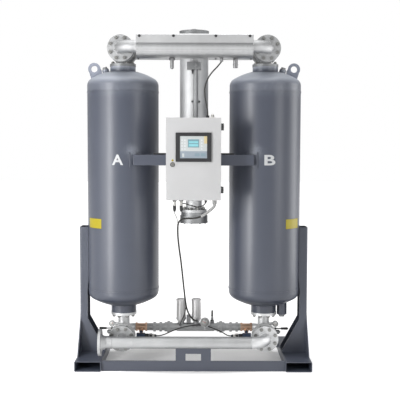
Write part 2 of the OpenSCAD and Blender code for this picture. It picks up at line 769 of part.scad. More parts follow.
// Wet air header in front, with the branch to tower A
module inlet_header() {
  x = inlet_neck - inlet_end;
  color(steel) difference() {
    union() {
      translate([x, header_y, low_z]) to_right() cylinder(d = pipe_od, h = header_half - x);
      translate([-tower_x, header_y, low_z]) to_back() cylinder(d = branch_od, h = -header_y - valve_face);
      translate([-tower_x, -joint_face, low_z]) to_back() flange();
    }
    translate([x - 1, header_y, low_z]) to_right() cylinder(d = pipe_bore, h = header_half - x + 2);
    translate([-tower_x, header_y, low_z]) to_back()
      cylinder(d = branch_bore, h = -header_y - valve_face + 1);
  }
}

// Bronze exhaust valve: barrel body with hexagon ends and a bonnet towards its pilot
module exhaust_valve() {
  difference() {
    union() {
      hex(62, 16);
      translate([0, 0, 15]) cylinder(d = 58, h = bronze_len - 30);
      translate([0, 0, bronze_len - 16]) hex(62, 16);
    }
    translate([0, 0, -1]) cylinder(d = 40, h = bronze_len + 2);
  }
}
module exhaust_valves() {
  color(bronze) for (s = [-1, 1]) mirror([s < 0 ? 1 : 0, 0, 0]) translate([manifold_half, exhaust_y, low_z]) {
    to_right() exhaust_valve();
    translate([bronze_len / 2, 0, 0]) rotate([125, 0, 0]) translate([0, 0, 27]) cylinder(d = 34, h = 25);
  }
}

// Pilot solenoid on each bonnet: block, coil and plug socket with its cable outlet
module exhaust_solenoids() {
  x = manifold_half + bronze_len / 2;
  color([0.12, 0.16, 0.24]) for (s = [-1, 1]) mirror([s < 0 ? 1 : 0, 0, 0]) translate([x, 128, low_z - 55]) {
    translate([-34, -22, -22]) cube([68, 38, 44]);
    translate([-66, 0, 0]) to_right() cylinder(d = 34, h = 33);
    translate([-94, -15, -15]) cube([28 + eps, 30, 30]);
    translate([300 - x, 0, 0]) to_right() cylinder(d = 20, h = x - 300 - 94 + eps);
    translate([0, 16, 8]) rotate([-55, 0, 0]) translate([0, 0, -4]) cylinder(d = 22, h = 33.6);
  }
}

// Exhaust manifold with unions, sockets for the silencers and a support foot
union_x = [-206, 218];
module exhaust_manifold() {
  color(steel) {
    difference() {
      union() {
        translate([-manifold_half, exhaust_y, low_z]) to_right()
          cylinder(d = exhaust_od, h = 2 * manifold_half);
        for (x = union_x) translate([x - 32, exhaust_y, low_z]) to_right() {
          cylinder(d = 76, h = 22);
          translate([0, 0, 22 - eps]) hex(84, 22);
          translate([0, 0, 44 - 2 * eps]) cylinder(d = 76, h = 20);
        }
        for (x = [-330, -280, 290, 340]) translate([x, exhaust_y, low_z]) to_right() hex(70, 20);
        translate([-136, exhaust_y, low_z]) to_right() cylinder(d = 70, h = 302);
        for (x = silencer_x) translate([x, exhaust_y, low_z]) cylinder(d = 48, h = 50);
      }
      translate([-manifold_half - 1, exhaust_y, low_z]) to_right()
        cylinder(d = exhaust_od - 8, h = 2 * manifold_half + 2);
    }
  }
}

// Small fittings on the manifold: pilot box, cable socket, pressure switch with its stem, cable clip
module manifold_fittings() {
  color([0.5, 0.5, 0.52]) {
    translate([-60, exhaust_y - 26, low_z + 35.2]) cube([35, 48, 62]);
    translate([24, exhaust_y - 79, low_z + 67]) to_back() cylinder(d = 24, h = 32);
    translate([14, exhaust_y - 54, low_z + 14]) cube([20, 7, 60]);
    translate([14, exhaust_y - 54, low_z + 14]) cube([20, 21, 14]);
    translate([-14, exhaust_y - 71, low_z + 12]) cube([20, 38, 6]);
    translate([-14, exhaust_y - 71, low_z + 17]) cube([20, 12, 5]);
    translate([-112, exhaust_y - 51, low_z + 25]) to_back() cylinder(d = 16, h = 19);
    translate([149, exhaust_y, low_z + 35.2]) hex(28, 16);
    translate([149, exhaust_y, low_z + 51]) cylinder(d = 20, h = 26);
    translate([149, exhaust_y, low_z + 77 - eps]) cylinder(d = 12, h = 60);
  }
}

// Exhaust silencers: nut, base ring, slotted drum and cap
module silencer() {
  hex(56, 14);
  translate([0, 0, 14 - eps]) cylinder(r = silencer_r + 2, h = 12);
  difference() {
    translate([0, 0, 26 - 2 * eps]) cylinder(r = silencer_r - 1, h = 142 + 4 * eps);
    for (a = [0 : 30 : 330]) rotate([0, 0, a]) translate([silencer_r - 3, -2.5, 40]) cube([6, 5, 114]);
  }
  translate([0, 0, 168]) cylinder(r = silencer_r + 2, h = 10);
  translate([0, 0, 178 - eps]) cylinder(r1 = silencer_r, r2 = silencer_r - 8, h = 6);
}
module silencers() {
  color([0.66, 0.66, 0.66]) for (x = silencer_x) translate([x, exhaust_y, low_z + 50]) silencer();
}

// Round pressure gauge that faces the front: case, bezel and dial
module gauge(r, t) {
  rotate([90, 0, 0]) difference() {
    union() {
      cylinder(r = r - 2, h = t);
      translate([0, 0, t - 7]) cylinder(r = r, h = 7);
    }
    translate([0, 0, t - 3]) cylinder(r = r - 5, h = 4);
  }
}
module pressure_gauges() {
  color([0.75, 0.75, 0.76]) {
    translate([90, 136, low_z + 58]) gauge(38, 30);
    translate([90, 121, low_z]) cylinder(d = 14, h = 24);
    translate([90, 121, low_z]) to_back() cylinder(d = 14, h = exhaust_y - 35.2 - 121);
    at_towers() {
      translate([94, 12, gauge_z]) gauge(24, 24);
      translate([64, 0, gauge_z]) to_right() hex(20, 12);
    }
  }
}

// Drain ball valve on the outer side of each lower tee: hexagon ends, ball body, stem and plug
module drain_valve() {
  translate([62, 0, drain_z]) to_right() {
    hex(30, 14);
    translate([0, 0, 14 - eps]) cylinder(d = 34, h = 36);
    translate([0, 0, 50 - 2 * eps]) hex(30, 14);
    translate([0, 0, 64 - 3 * eps]) cylinder(d = 20, h = 8);
  }
  translate([94, 0, drain_z]) cylinder(d = 16, h = 21);
  translate([94, 0, drain_z + 21 - eps]) cylinder(d = 8, h = 17);
}
module drain_valves() { color([0.78, 0.76, 0.72]) at_towers() drain_valve(); }

// Lever of a drain valve: hub on the stem and a cranked handle with a round end
module lever() {
  hub_z = drain_z + 21.4;
  color(dark) translate([94, 0, hub_z]) {
    difference() {
      union() {
        cylinder(d = 20, h = 12);
        translate([0, -7, 3]) cube([60, 14, 6]);
        translate([44, 0, 6]) to_right() cylinder(d1 = 17, d2 = 20, h = 48);
        translate([92, 0, 6]) sphere(d = 20);
      }
      translate([0, 0, -1]) cylinder(d = 8.8, h = 14);
    }
  }
}
module lever_a() { at_tower(-1) lever(); }
module lever_b() { at_tower(1) lever(); }

// Stud with a nut at each end, along Z from z0 to z1
module stud(z0, z1) {
  translate([0, 0, z0 - nut_t - 6]) cylinder(d = bolt_d, h = z1 - z0 + 2 * nut_t + 12, $fn = 24);
  translate([0, 0, z0 - nut_t]) hex(nut_af, nut_t);
  translate([0, 0, z1]) hex(nut_af, nut_t);
}

// Stud with one nut, standing on a face at z0, through a flange up to z1
module half_stud(z0, z1) {
  translate([0, 0, z0]) cylinder(d = bolt_d, h = z1 - z0 + nut_t + 6, $fn = 24);
  translate([0, 0, z1]) hex(nut_af, nut_t);
}
module flange_studs() {
  color([0.7, 0.7, 0.68]) {
    at_towers() {
      for (z = [top_z, low_z]) translate([0, 0, z]) to_back() bolt_circle() stud(-joint_face, -tee_reach);
      translate([0, 0, top_z]) to_back() bolt_circle() stud(tee_reach, outlet_face);
      bolt_circle() half_stud(nozzle_top, nozzle_top + flange_t);
      mirror([0, 0, 1]) bolt_circle() half_stud(-nozzle_low, -nozzle_low + flange_t);
    }
    bolt_circle() stud(heater_z - flange_t, heater_z + flange_t);
  }
}

// Hollow bar that carries the cabinet, coped to the pads on the vessels
module cabinet_bar() {
  color(paint) difference() {
    translate([-bar_half, cabinet_back + bar_t / 2, bar_z + bar_h / 2]) rotate([90, 0, 90])
      linear_extrude(2 * bar_half) difference() {
        round_rect(bar_t, bar_h, 5);
        round_rect(bar_t - 8, bar_h - 8, 2);
      }
    for (s = [-1, 1]) translate([s * tower_x, 0, bar_z - 30])
      cylinder(r = vessel_r + pad_t + 0.2, h = bar_h + 60);
  }
}

// Cabinet body, open at the front
module cabinet_box() {
  depth = cabinet_back - box_front;
  color(light_grey) difference() {
    translate([-cabinet_w / 2, box_front, cabinet_z]) cube([cabinet_w, depth, cabinet_h]);
    translate([-cabinet_w / 2 + sheet, box_front - 1, cabinet_z + sheet])
      cube([cabinet_w - 2 * sheet, depth - sheet + 1, cabinet_h - 2 * sheet]);
  }
}

// Flat frame round the cabinet's opening, which the lock's tongue turns behind
module cabinet_frame() {
  lip = 18;
  color(light_grey) difference() {
    translate([-cabinet_w / 2 + sheet, box_front, cabinet_z + sheet])
      cube([cabinet_w - 2 * sheet, sheet, cabinet_h - 2 * sheet]);
    translate([-cabinet_w / 2 + lip, box_front - 1, cabinet_z + lip])
      cube([cabinet_w - 2 * lip, sheet + 2, cabinet_h - 2 * lip]);
  }
}

// Fixed halves of the two door hinges with their pins
module door_hinges() {
  color(dark) for (z = hinge_z) translate([0, 0, z]) {
    for (k = [-25, 12.5]) translate([0, 0, k]) {
      translate([hinge_x, hinge_y, 0]) cylinder(r = hinge_r, h = 12.5);
      translate([cabinet_w / 2, hinge_y + 5, 0]) cube([6, 40, 12.5]);
    }
    translate([cabinet_w / 2, hinge_y + 20, -25]) cube([4, 25, 50]);
    translate([hinge_x, hinge_y, -25]) cylinder(r = 3.6, h = 50);
  }
}

// Back plate with the controller, contactors and terminal rows
module control_plate() {
  y = cabinet_back - sheet - 3;
  color([0.72, 0.72, 0.70]) {
    translate([-cabinet_w / 2 + 20, y, cabinet_z + 25]) cube([cabinet_w - 40, 3, cabinet_h - 50]);
    translate([-150, y - 58, cabinet_z + 430]) cube([180, 58 + eps, 110]);
    for (i = [0 : 3]) translate([50 + i * 27, y - 64, cabinet_z + 440]) cube([24, 64 + eps, 86]);
    translate([-160, y - 16, cabinet_z + 350]) cube([320, 16 + eps, 35]);
    for (i = [0 : 11]) translate([-140 + i * 23, y - 44, cabinet_z + 340]) cube([18, 29, 55]);
  }
}

// Cable glands and plugs under and over the cabinet, and the breather on its top
module cable_glands() {
  color(dark) {
    for (x = [-140, -91]) translate([x, gland_y, 0]) {
      translate([0, 0, cabinet_z - 10]) hex(28, 10);
      translate([0, 0, 1247]) cylinder(d = 19, h = cabinet_z - 10 - 1247 + eps);
      translate([0, 0, 1222]) cylinder(d = 24, h = 26);
      translate([0, 0, 1204]) cylinder(d1 = 15, d2 = 24, h = 18 + eps);
    }
    translate([-91, -352, 1266]) to_right() cylinder(d = 12, h = 9);
    translate([155, gland_y, 1262]) cylinder(d = 30, h = cabinet_z - 1262);
    translate([90, -336, 1270]) cylinder(d = 18, h = cabinet_z - 1270);
    translate([103, gland_y, cabinet_z + cabinet_h]) cylinder(d = 24, h = 18);
    translate([138, gland_y, cabinet_z + cabinet_h]) {
      cylinder(d = 26, h = 10);
      translate([0, 0, 10 - eps]) cylinder(d1 = 26, d2 = 22, h = 10);
      translate([0, 0, 18]) sphere(d = 22);
    }
  }
}

// Door pan with folded edges, a cut-out for the display and the moving hinge halves
module cabinet_door() {
  w = cabinet_w - 1;
  h = cabinet_h - 1;
  color(light_grey) difference() {
    union() {
      difference() {
        translate([-w / 2, cabinet_front, cabinet_z + 0.5]) cube([w, door_t, h]);
        translate([-w / 2 + 2, cabinet_front + 2.5, cabinet_z + 2.5]) cube([w - 4, door_t, h - 4]);
      }
      for (z = hinge_z) translate([0, 0, z - 12.2]) {
        translate([hinge_x, hinge_y, 0]) cylinder(r = hinge_r, h = 24.4);
        translate([w / 2 - 1, cabinet_front + 0.5, 0]) cube([hinge_x - w / 2 + 1, 5, 24.4]);
      }
      translate([lock_x, cabinet_front, lock_z]) to_back() cylinder(d = 30, h = door_t - 4);
    }
    for (z = hinge_z) translate([hinge_x, hinge_y, z - 30]) cylinder(r = 4, h = 60);
    translate([-bezel_w / 2 + 10, cabinet_front - 1, bezel_z + 10]) cube([bezel_w - 20, 10, bezel_h - 20]);
    translate([lock_x, cabinet_front - 1, lock_z]) to_back() cylinder(r = 9.4, h = door_t + 2);
  }
}

// Operator display: bezel with a chamfered window, screen plate and the housing behind the door
module display() {
  color(dark) difference() {
    union() {
      translate([0, cabinet_front, bezel_z + bezel_h / 2]) rotate([90, 0, 0])
        linear_extrude(bezel_t) round_rect(bezel_w, bezel_h, 5);
      translate([-bezel_w / 2 + 12, cabinet_front - eps, bezel_z + 12])
        cube([bezel_w - 24, 38, bezel_h - 24]);
    }
    translate([-screen_w / 2, cabinet_front - bezel_t - 1, bezel_z + bezel_h / 2 - screen_h / 2])
      cube([screen_w, 3.5, screen_h]);
  }
}

// Quarter-turn lock: round head with a slot, barrel through the door and the tongue behind it
tongue_y = box_front + 5;
module door_lock() {
  color([0.6, 0.6, 0.6]) translate([lock_x, 0, lock_z]) {
    difference() {
      translate([0, cabinet_front - 6, 0]) to_back() cylinder(r = 14, h = 5.7);
      translate([-1.5, cabinet_front - 7, -8]) cube([3, 4, 16]);
    }
    translate([0, cabinet_front - 1, 0]) to_back() cylinder(r = 9, h = tongue_y - cabinet_front + 5);
    translate([0, tongue_y, 0]) to_back() cylinder(r = 11, h = 4);
    translate([-7, tongue_y, -42]) cube([14, 4, 42]);
  }
}

module trunk_cable() { color(dark) cord(trunk_route, trunk_d, 10); }
module branch_cable() { color(dark) cord(branch_route, branch_d, 8); }
module arch_cable() { color(dark) cord(arch_route, arch_d, 8); }
module header_cable() { color(dark) cord(header_route, header_cable_d, 8); }
module plug_lead() { color([0.45, 0.45, 0.44]) cord(plug_lead_route, plug_lead_d, 8); }
module sensor_lead() { color(dark) cord(lead_route, lead_d, 8); }

fork_tube_left();
fork_tube_right();
cross_beams();
pipe_support();
leg_left();
leg_right();
vessel_a();
vessel_b();
lifting_eye_a();
lifting_eye_b();
port_plugs();
desiccant_beds();
bed_screens();
top_tee_a();
top_tee_b();
check_valves();
purge_elbows();
purge_header();
guard_trough();
guard_cover();
guard_screws();
header_probes();
outlet_elbows();
outlet_header();
heater_column();
heater_lid();
heater_elements();
heater_head();
purge_tube();
bottom_tee_a();
bottom_tee_b();
inlet_valves();
inlet_flange();
inlet_header();
inlet_elbow();
exhaust_valves();
exhaust_solenoids();
exhaust_manifold();
manifold_fittings();
silencers();
pressure_gauges();
drain_valves();
lever_a();
lever_b();
flange_studs();
cabinet_bar();
cabinet_box();
cabinet_frame();
door_hinges();
control_plate();
cable_glands();
cabinet_door();
display();
door_lock();
trunk_cable();
branch_cable();
arch_cable();
header_cable();
plug_lead();
sensor_lead();
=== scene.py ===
"""Looks of the twin-tower desiccant air dryer: finishes, marks, dials, cables and the studio."""

import logging
import math
from collections.abc import Sequence
from dataclasses import dataclass, field
from enum import Enum

import bmesh
import bpy
from mathutils import Matrix, Vector


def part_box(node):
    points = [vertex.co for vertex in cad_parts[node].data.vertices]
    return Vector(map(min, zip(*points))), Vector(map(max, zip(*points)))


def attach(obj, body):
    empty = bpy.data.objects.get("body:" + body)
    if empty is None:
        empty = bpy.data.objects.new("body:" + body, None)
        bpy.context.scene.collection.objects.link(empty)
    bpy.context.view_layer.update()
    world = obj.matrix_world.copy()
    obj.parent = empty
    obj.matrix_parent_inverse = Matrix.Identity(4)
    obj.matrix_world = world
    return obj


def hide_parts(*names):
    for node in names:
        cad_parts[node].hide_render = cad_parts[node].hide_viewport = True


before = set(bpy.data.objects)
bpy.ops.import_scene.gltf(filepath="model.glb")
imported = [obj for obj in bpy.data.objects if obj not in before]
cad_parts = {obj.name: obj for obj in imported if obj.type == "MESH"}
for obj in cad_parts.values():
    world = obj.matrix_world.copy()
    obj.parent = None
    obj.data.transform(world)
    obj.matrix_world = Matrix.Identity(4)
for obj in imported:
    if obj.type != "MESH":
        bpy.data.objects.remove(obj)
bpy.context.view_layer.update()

LOG = logging.getLogger("air_dryer")
MM = 0.001
FULL_TURN = 2.0 * math.pi
RIGHT = (1.0, 0.0, 0.0)
FRONT = (0.0, -1.0, 0.0)
WHITE = (1.0, 1.0, 1.0, 1.0)
# Each tower's side of the middle and its mark
TOWER_SIDES = ((-1, "a"), (1, "b"))
# Most of a noise texture's values lie in this span
NOISE_SPAN = (0.3, 0.7)
EDGE_SAMPLES = 4
# A face with more than this of its normal along a tube is one of the tube's ends
END_FACING = 0.5

RGB = tuple[float, float, float]
Point = tuple[float, float, float]
Pair = tuple[float, float]
Outline = Sequence[Pair]
Socket = bpy.types.NodeSocket


class Body(Enum):
    """The rigid bodies that new pieces ride on."""

    DRYER = "dryer"
    DOOR = "cabinet_door"


class Slot(Enum):
    """Names of the record's material slots."""

    VESSEL_PAINT = "vessel_paint"
    STAINLESS = "stainless"
    GUARD_SHEET = "guard_sheet"
    DARK_FASTENERS = "dark_fasteners"
    GAUGE_CASE = "gauge_case"
    SOLENOID_PLASTIC = "solenoid_plastic"
    FITTING_GREY = "fitting_grey"
    CABINET_PAINT = "cabinet_paint"
    BEZEL_BLACK = "bezel_black"
    HINGE_BLACK = "hinge_black"
    GLAND_BLACK = "gland_black"
    CABLE_BLACK = "cable_black"
    CONDUIT_GREY = "conduit_grey"


class Grain(Enum):
    """Directions of the fine streaks in a metal, as scales of its noise along X, Y and Z."""

    ALONG_X = (3.0, 90.0, 90.0)
    ALONG_Z = (90.0, 90.0, 3.0)
    CAST = (60.0, 60.0, 60.0)


class Join(Enum):
    """Ways to join two numbers in a node tree."""

    SUM = "ADD"
    PRODUCT = "MULTIPLY"
    LARGER = "MAXIMUM"


class Stiffness(Enum):
    """How far a cable bends by its own weight."""

    LIMP = "limp"
    MEDIUM = "medium"
    STIFF = "stiff"


class Lay(Enum):
    """How a cable lies."""

    LOOSE = "loose"
    HANGING = "hanging"


def shade(color: RGB, factor: float) -> RGB:
    """Scales a colour and keeps it within 0 to 1.

    Args:
        color: the colour.
        factor: factor on each channel.

    Returns:
        The scaled colour.
    """
    return tuple(min(1.0, channel * factor) for channel in color)


def set_sockets(node: bpy.types.Node, **values: float | tuple[float, ...]) -> None:
    """Sets plain values on a node's sockets.

    Args:
        node: the node.
        values: values by socket name, with _ for a space.
    """
    for name, value in values.items():
        node.inputs[name.replace("_", " ")].default_value = value


class Bench:
    """Puts shader nodes into one node tree."""

    def __init__(self, tree: bpy.types.NodeTree) -> None:
        """Starts work on a tree."""
        self.tree = tree

    def link(self, source: Socket, target: Socket) -> None:
        """Joins two sockets."""
        self.tree.links.new(source, target)

    def node(self, kind: str, **values: float | tuple[float, ...]) -> bpy.types.Node:
        """Adds a node and sets plain values on its sockets.

        Args:
            kind: the node's kind, without its prefix.
            values: values by socket name, with _ for a space.

        Returns:
            The node.
        """
        made = self.tree.nodes.new(f"ShaderNode{kind}")
        set_sockets(made, **values)
        return made

    def join(self, way: Join, first: Socket, second: Socket | float) -> Socket:
        """Joins two numbers.

        Args:
            way: how they are joined.
            first: the first number.
            second: the second number, from a socket or plain.

        Returns:
            The result.
        """
        node = self.node("Math")
        node.operation = way.value
        self.link(first, node.inputs[0])
        if isinstance(second, float):
            node.inputs[1].default_value = second
        else:
            self.link(second, node.inputs[1])
        return node.outputs[0]

    def ramp(self, value: Socket, span: Pair, levels: Pair, smooth: bool = False) -> Socket:
        """Maps a number from one range to another and holds it within that.

        Args:
            value: the number.
            span: numbers at which the change starts and ends.
            levels: results at these two.
            smooth: whether the change eases in and out.

        Returns:
            The mapped number.
        """
        (start, end), (low, high) = span, levels
        node = self.node("MapRange", From_Min=start, From_Max=end, To_Min=low, To_Max=high)
        if smooth:
            node.interpolation_type = "SMOOTHSTEP"
        self.link(value, node.inputs["Value"])
        return node.outputs["Result"]


class Desk(Bench):
    """Makes one material, in the row frame's own coordinates."""

    def __init__(self, name: str) -> None:
        """Starts a material with a plain principled shader.

        Args:
            name: name of its finish.
        """
        self.material = bpy.data.materials.new(f"{name}_finish")
        self.material.use_nodes = True
        super().__init__(self.material.node_tree)
        self.shader = self.tree.nodes["Principled BSDF"]
        self.place = self.node("TexCoord").outputs["Object"]

    def stretched(self, scale: Point) -> Socket:
        """Scales the coordinates differently along each axis.

        Args:
            scale: factors along X, Y and Z.

        Returns:
            The scaled coordinates.
        """
        node = self.node("Mapping", Scale=scale)
        self.link(self.place, node.inputs["Vector"])
        return node.outputs["Vector"]

    def noise(self, scale: float, detail: float, at: Socket | None = None) -> Socket:
        """Adds a noise texture.

        Args:
            scale: features per metre.
            detail: octaves of finer noise.
            at: coordinates to use in place of the plain ones.

        Returns:
            The noise value from 0 to 1.
        """
        node = self.node("TexNoise", Scale=scale, Detail=detail)
        self.link(at or self.place, node.inputs["Vector"])
        return node.outputs["Fac"]

    def blend(self, value: Socket, first: Socket | RGB, second: Socket | RGB) -> Socket:
        """Mixes two colours by a value.

        Args:
            value: share of the second colour.
            first: colour at 0, from a socket or plain.
            second: colour at 1, from a socket or plain.

        Returns:
            The mixed colour.
        """
        node = self.node("Mix")
        node.data_type = "RGBA"
        for name, color in (("A", first), ("B", second)):
            if isinstance(color, tuple):
                node.inputs[name].default_value = (*color, 1.0)
            else:
                self.link(color, node.inputs[name])
        self.link(value, node.inputs["Factor"])
        return node.outputs["Result"]

    def varied(self, noise: Socket, color: RGB, share: float) -> Socket:
        """Varies a colour by a noise.

        Args:
            noise: the noise value.
            color: the middle colour.
            share: share by which the colour is lighter or darker.

        Returns:
            The varied colour.
        """
        value = self.ramp(noise, NOISE_SPAN, (0.0, 1.0))
        return self.blend(value, shade(color, 1.0 - share), shade(color, 1.0 + share))

    def color_by(self, tone: Socket) -> None:
        """Gives the shader its colour."""
        self.link(tone, self.shader.inputs["Base Color"])

    def roughen(self, noise: Socket, middle: float, swing: float) -> None:
        """Varies the shader's roughness by a noise.

        Args:
            noise: the noise value.
            middle: the middle roughness.
            swing: how far it goes up and down.
        """
        rough = self.ramp(noise, NOISE_SPAN, (middle - swing, middle + swing))
        self.link(rough, self.shader.inputs["Roughness"])

    def softened(self, radius: float, samples: int) -> Socket:
        """Averages the surface's normal over what is near.

        Args:
            radius: how far it looks, in metres.
            samples: number of places that it looks at.

        Returns:
            The softened normal.
        """
        node = self.node("Bevel", Radius=radius)
        node.samples = samples
        return node.outputs["Normal"]

    def upward(self, vector: Socket) -> Socket:
        """Takes the Z part of a vector.

        Args:
            vector: the vector.

        Returns:
            Its Z part.
        """
        node = self.node("SeparateXYZ")
        self.link(vector, node.inputs["Vector"])
        return node.outputs["Z"]

    def bump(self, height: Socket, strength: float, depth: float, edge: float = 0.0) -> None:
        """Bends the shading normal by a height, over a softened edge.

        Args:
            height: relief from 0 to 1.
            strength: share of the effect.
            depth: depth of the relief in metres.
            edge: radius of the softened edges in metres, or 0 for none.
        """
        node = self.node("Bump", Strength=strength, Distance=depth)
        self.link(height, node.inputs["Height"])
        if edge:
            self.link(self.softened(edge, EDGE_SAMPLES), node.inputs["Normal"])
        self.link(node.outputs["Normal"], self.shader.inputs["Normal"])


@dataclass(frozen=True)
class TopLightPaint:
    """Painted top light: a paler blue-grey laid over what faces up in the upper half of the vessels,
    as though lit from above.
    """

    amount: float
    color: RGB = (0.40, 0.43, 0.49)
    reach: float = 0.10
    samples: int = 16
    facing: Pair = (0.03, 0.75)
    heights: Pair = (1.2, 1.4)

    def over(self, desk: Desk, tone: Socket) -> Socket:
        """Lays the painted top light over a colour.

        Args:
            desk: the material in the making.
            tone: the colour without the painted light.

        Returns:
            The colour with the painted top light.
        """
        # painted top light: paler on faces that look up, above 1.2 m
        normal = desk.softened(self.reach, self.samples)
        level = desk.ramp(desk.upward(normal), self.facing, (0.0, 1.0))
        above = desk.ramp(desk.upward(desk.place), self.heights, (0.0, self.amount))
        return desk.blend(desk.join(Join.PRODUCT, level, above), tone, self.color)


@dataclass(frozen=True)
class Finish:
    """A finish of the object, made into a material once. Its noises are pairs of scale and detail."""

    name: str
    color: RGB
    rough: float

    def material(self) -> bpy.types.Material:
        """Gives the finish's material, and makes it at its first use.

        Returns:
            The material.
        """
        found = bpy.data.materials.get(f"{self.name}_finish")
        if found:
            return found
        desk = Desk(self.name)
        self.make(desk)
        return desk.material

    def make(self, desk: Desk) -> None:
        """Puts the finish's nodes into its material."""
        raise NotImplementedError


@dataclass(frozen=True)
class Paint(Finish):
    """Sprayed paint or powder coat: orange peel, faint clouds, softened edges and, where given,
    painted top light.
    """

    top_light: TopLightPaint | None = None
    shine: float = 0.5
    edge: float = 0.0015
    relief: float = 0.0002
    strength: float = 0.04
    peel: float = 420.0
    peel_detail: float = 1.0
    cloud: Pair = (5.0, 3.0)
    tint: float = 0.03
    gloss: Pair = (6.0, 2.0)
    swing: float = 0.012

    def make(self, desk: Desk) -> None:
        """Makes the paint.

        Args:
            desk: the material in the making.
        """
        tone = desk.varied(desk.noise(*self.cloud), self.color, self.tint)
        # where given, painted top light makes upward faces paler
        desk.color_by(self.top_light.over(desk, tone) if self.top_light else tone)
        desk.roughen(desk.noise(*self.gloss), self.rough, self.swing)
        desk.bump(desk.noise(self.peel, self.peel_detail), self.strength, self.relief, self.edge)
        set_sockets(desk.shader, Specular_IOR_Level=self.shine)


@dataclass(frozen=True)
class Metal(Finish):
    """Bare metal with fine streaks or a cast skin."""

    grain: Grain = Grain.CAST
    streak: float = 0.05
    relief: float = 0.0001
    strength: float = 0.25
    lines: Pair = (12.0, 3.0)
    stain: Pair = (9.0, 4.0)
    tint: float = 0.07

    def tone(self, desk: Desk) -> Socket:
        """Gives the faintly stained colour."""
        return desk.varied(desk.noise(*self.stain), self.color, self.tint)

    def make(self, desk: Desk) -> None:
        """Makes the metal.

        Args:
            desk: the material in the making.
        """
        lines = desk.noise(*self.lines, desk.stretched(self.grain.value))
        desk.color_by(self.tone(desk))
        desk.roughen(lines, self.rough, self.streak)
        desk.bump(lines, self.strength, self.relief)
        set_sockets(desk.shader, Metallic=1.0)


@dataclass(frozen=True)
class Perforated(Metal):
    """Bare sheet with a grid of fine punched holes."""

    pitch: float = 0.009
    hole: float = 0.30
    rim: float = 1.25
    dark: float = 0.45

    def tone(self, desk: Desk) -> Socket:
        """Gives the sheet's colour, darker in the holes.

        Args:
            desk: the material in the making.

        Returns:
            The colour.
        """
        cells = desk.node("TexVoronoi", Scale=1.0 / self.pitch, Randomness=0.0)
        desk.link(desk.place, cells.inputs["Vector"])
        solid = desk.ramp(cells.outputs["Distance"], (self.hole, self.hole * self.rim), (0.0, 1.0))
        return desk.blend(solid, shade(self.color, self.dark), super().tone(desk))


@dataclass(frozen=True)
class Moulded(Finish):
    """Moulded plastic or rubber with a fine grain."""

    edge: float = 0.0008
    relief: float = 0.0002
    strength: float = 0.3
    grain: Pair = (900.0, 2.0)
    swing: float = 0.06
    mottle: Pair = (30.0, 3.0)
    tint: float = 0.15

    def make(self, desk: Desk) -> None:
        """Makes the plastic.

        Args:
            desk: the material in the making.
        """
        grain = desk.noise(*self.grain)
        desk.color_by(desk.varied(desk.noise(*self.mottle), self.color, self.tint))
        desk.roughen(grain, self.rough, self.swing)
        desk.bump(grain, self.strength, self.relief, self.edge)


@dataclass(frozen=True)
class Printed(Finish):
    """Flat printed or lit colour, such as a dial, a mark or a field of the screen."""

    glow: float = 0.0
    mottle: Pair = (70.0, 2.0)
    tint: float = 0.03
    gloss: Pair = (200.0, 2.0)
    swing: float = 0.03

    def make(self, desk: Desk) -> None:
        """Makes the printed colour.

        Args:
            desk: the material in the making.
        """
        tone = desk.varied(desk.noise(*self.mottle), self.color, self.tint)
        desk.color_by(tone)
        desk.roughen(desk.noise(*self.gloss), self.rough, self.swing)
        if self.glow:
            desk.link(tone, desk.shader.inputs["Emission Color"])
            set_sockets(desk.shader, Emission_Strength=self.glow)


BLUE_GREY = (0.070, 0.079, 0.107)
TOWER_PAINT = Paint("tower_paint", BLUE_GREY, 0.36, relief=0.00005, shine=0.62)
# The vessels' paint carries painted top light, paler on the heads' upward faces.
VESSEL_PAINT = Paint("vessel_paint", BLUE_GREY, 0.36, top_light=TopLightPaint(0.9), relief=0.00005, shine=0.62)
# A lighter copy of the tower paint for the lifting eyes: painted light, as though lit from above.
LIT_EYE_PAINT = Paint("lit_eye_paint", (0.27, 0.29, 0.35), 0.36, relief=0.00005, shine=0.56)
# A dull, matt finish for the fork pockets' inner faces: painted shade inside the pockets.
POCKET_SHADE_PAINT = Paint("pocket_painted_shade", (0.085, 0.100, 0.135), 0.70, relief=0.0001, shine=0.20)
CABINET_PAINT = Paint("cabinet_paint", (0.58, 0.58, 0.585), 0.45, peel=700.0, edge=0.002)
BLACK_IRON = Paint("black_iron", (0.018, 0.018, 0.020), 0.42, edge=0.001)
FITTING_PAINT = Paint("fitting_paint", (0.30, 0.30, 0.31), 0.45)
PIPE_STEEL_X = Metal("pipe_steel_x", (0.48, 0.485, 0.49), 0.55, grain=Grain.ALONG_X)
PIPE_STEEL = Metal("pipe_steel", (0.28, 0.285, 0.29), 0.56)
ELBOW_STEEL = Metal("elbow_steel", (0.42, 0.425, 0.43), 0.58, grain=Grain.ALONG_X)
# A lighter copy of the pipe stainless for the bottom tees and inlet elbow: painted light against the
# shade low down.
LOWER_STEEL_PAINTED_LIGHT = Metal("lower_steel_painted_light", (0.68, 0.685, 0.69), 0.55)
PROBE_STEEL = Metal("probe_steel", (0.24, 0.24, 0.245), 0.45, grain=Grain.ALONG_Z)
COLUMN_STEEL = Metal("column_steel", (0.54, 0.545, 0.55), 0.64, grain=Grain.ALONG_Z, streak=0.04)
GUARD_STEEL = Metal("guard_steel", (0.61, 0.615, 0.62), 0.42, grain=Grain.ALONG_X)
GUARD_MESH = Perforated("guard_mesh", (0.44, 0.445, 0.45), 0.42, grain=Grain.ALONG_X)
VALVE_STEEL = Metal("valve_steel", (0.60, 0.60, 0.59), 0.46, relief=0.0004)
STUD_ZINC = Metal("stud_zinc", (0.29, 0.29, 0.28), 0.42)
ROD_STEEL = Metal("rod_steel", (0.38, 0.35, 0.33), 0.45)
SILENCER_METAL = Metal("silencer_metal", (0.63, 0.625, 0.625), 0.46, grain=Grain.ALONG_Z)
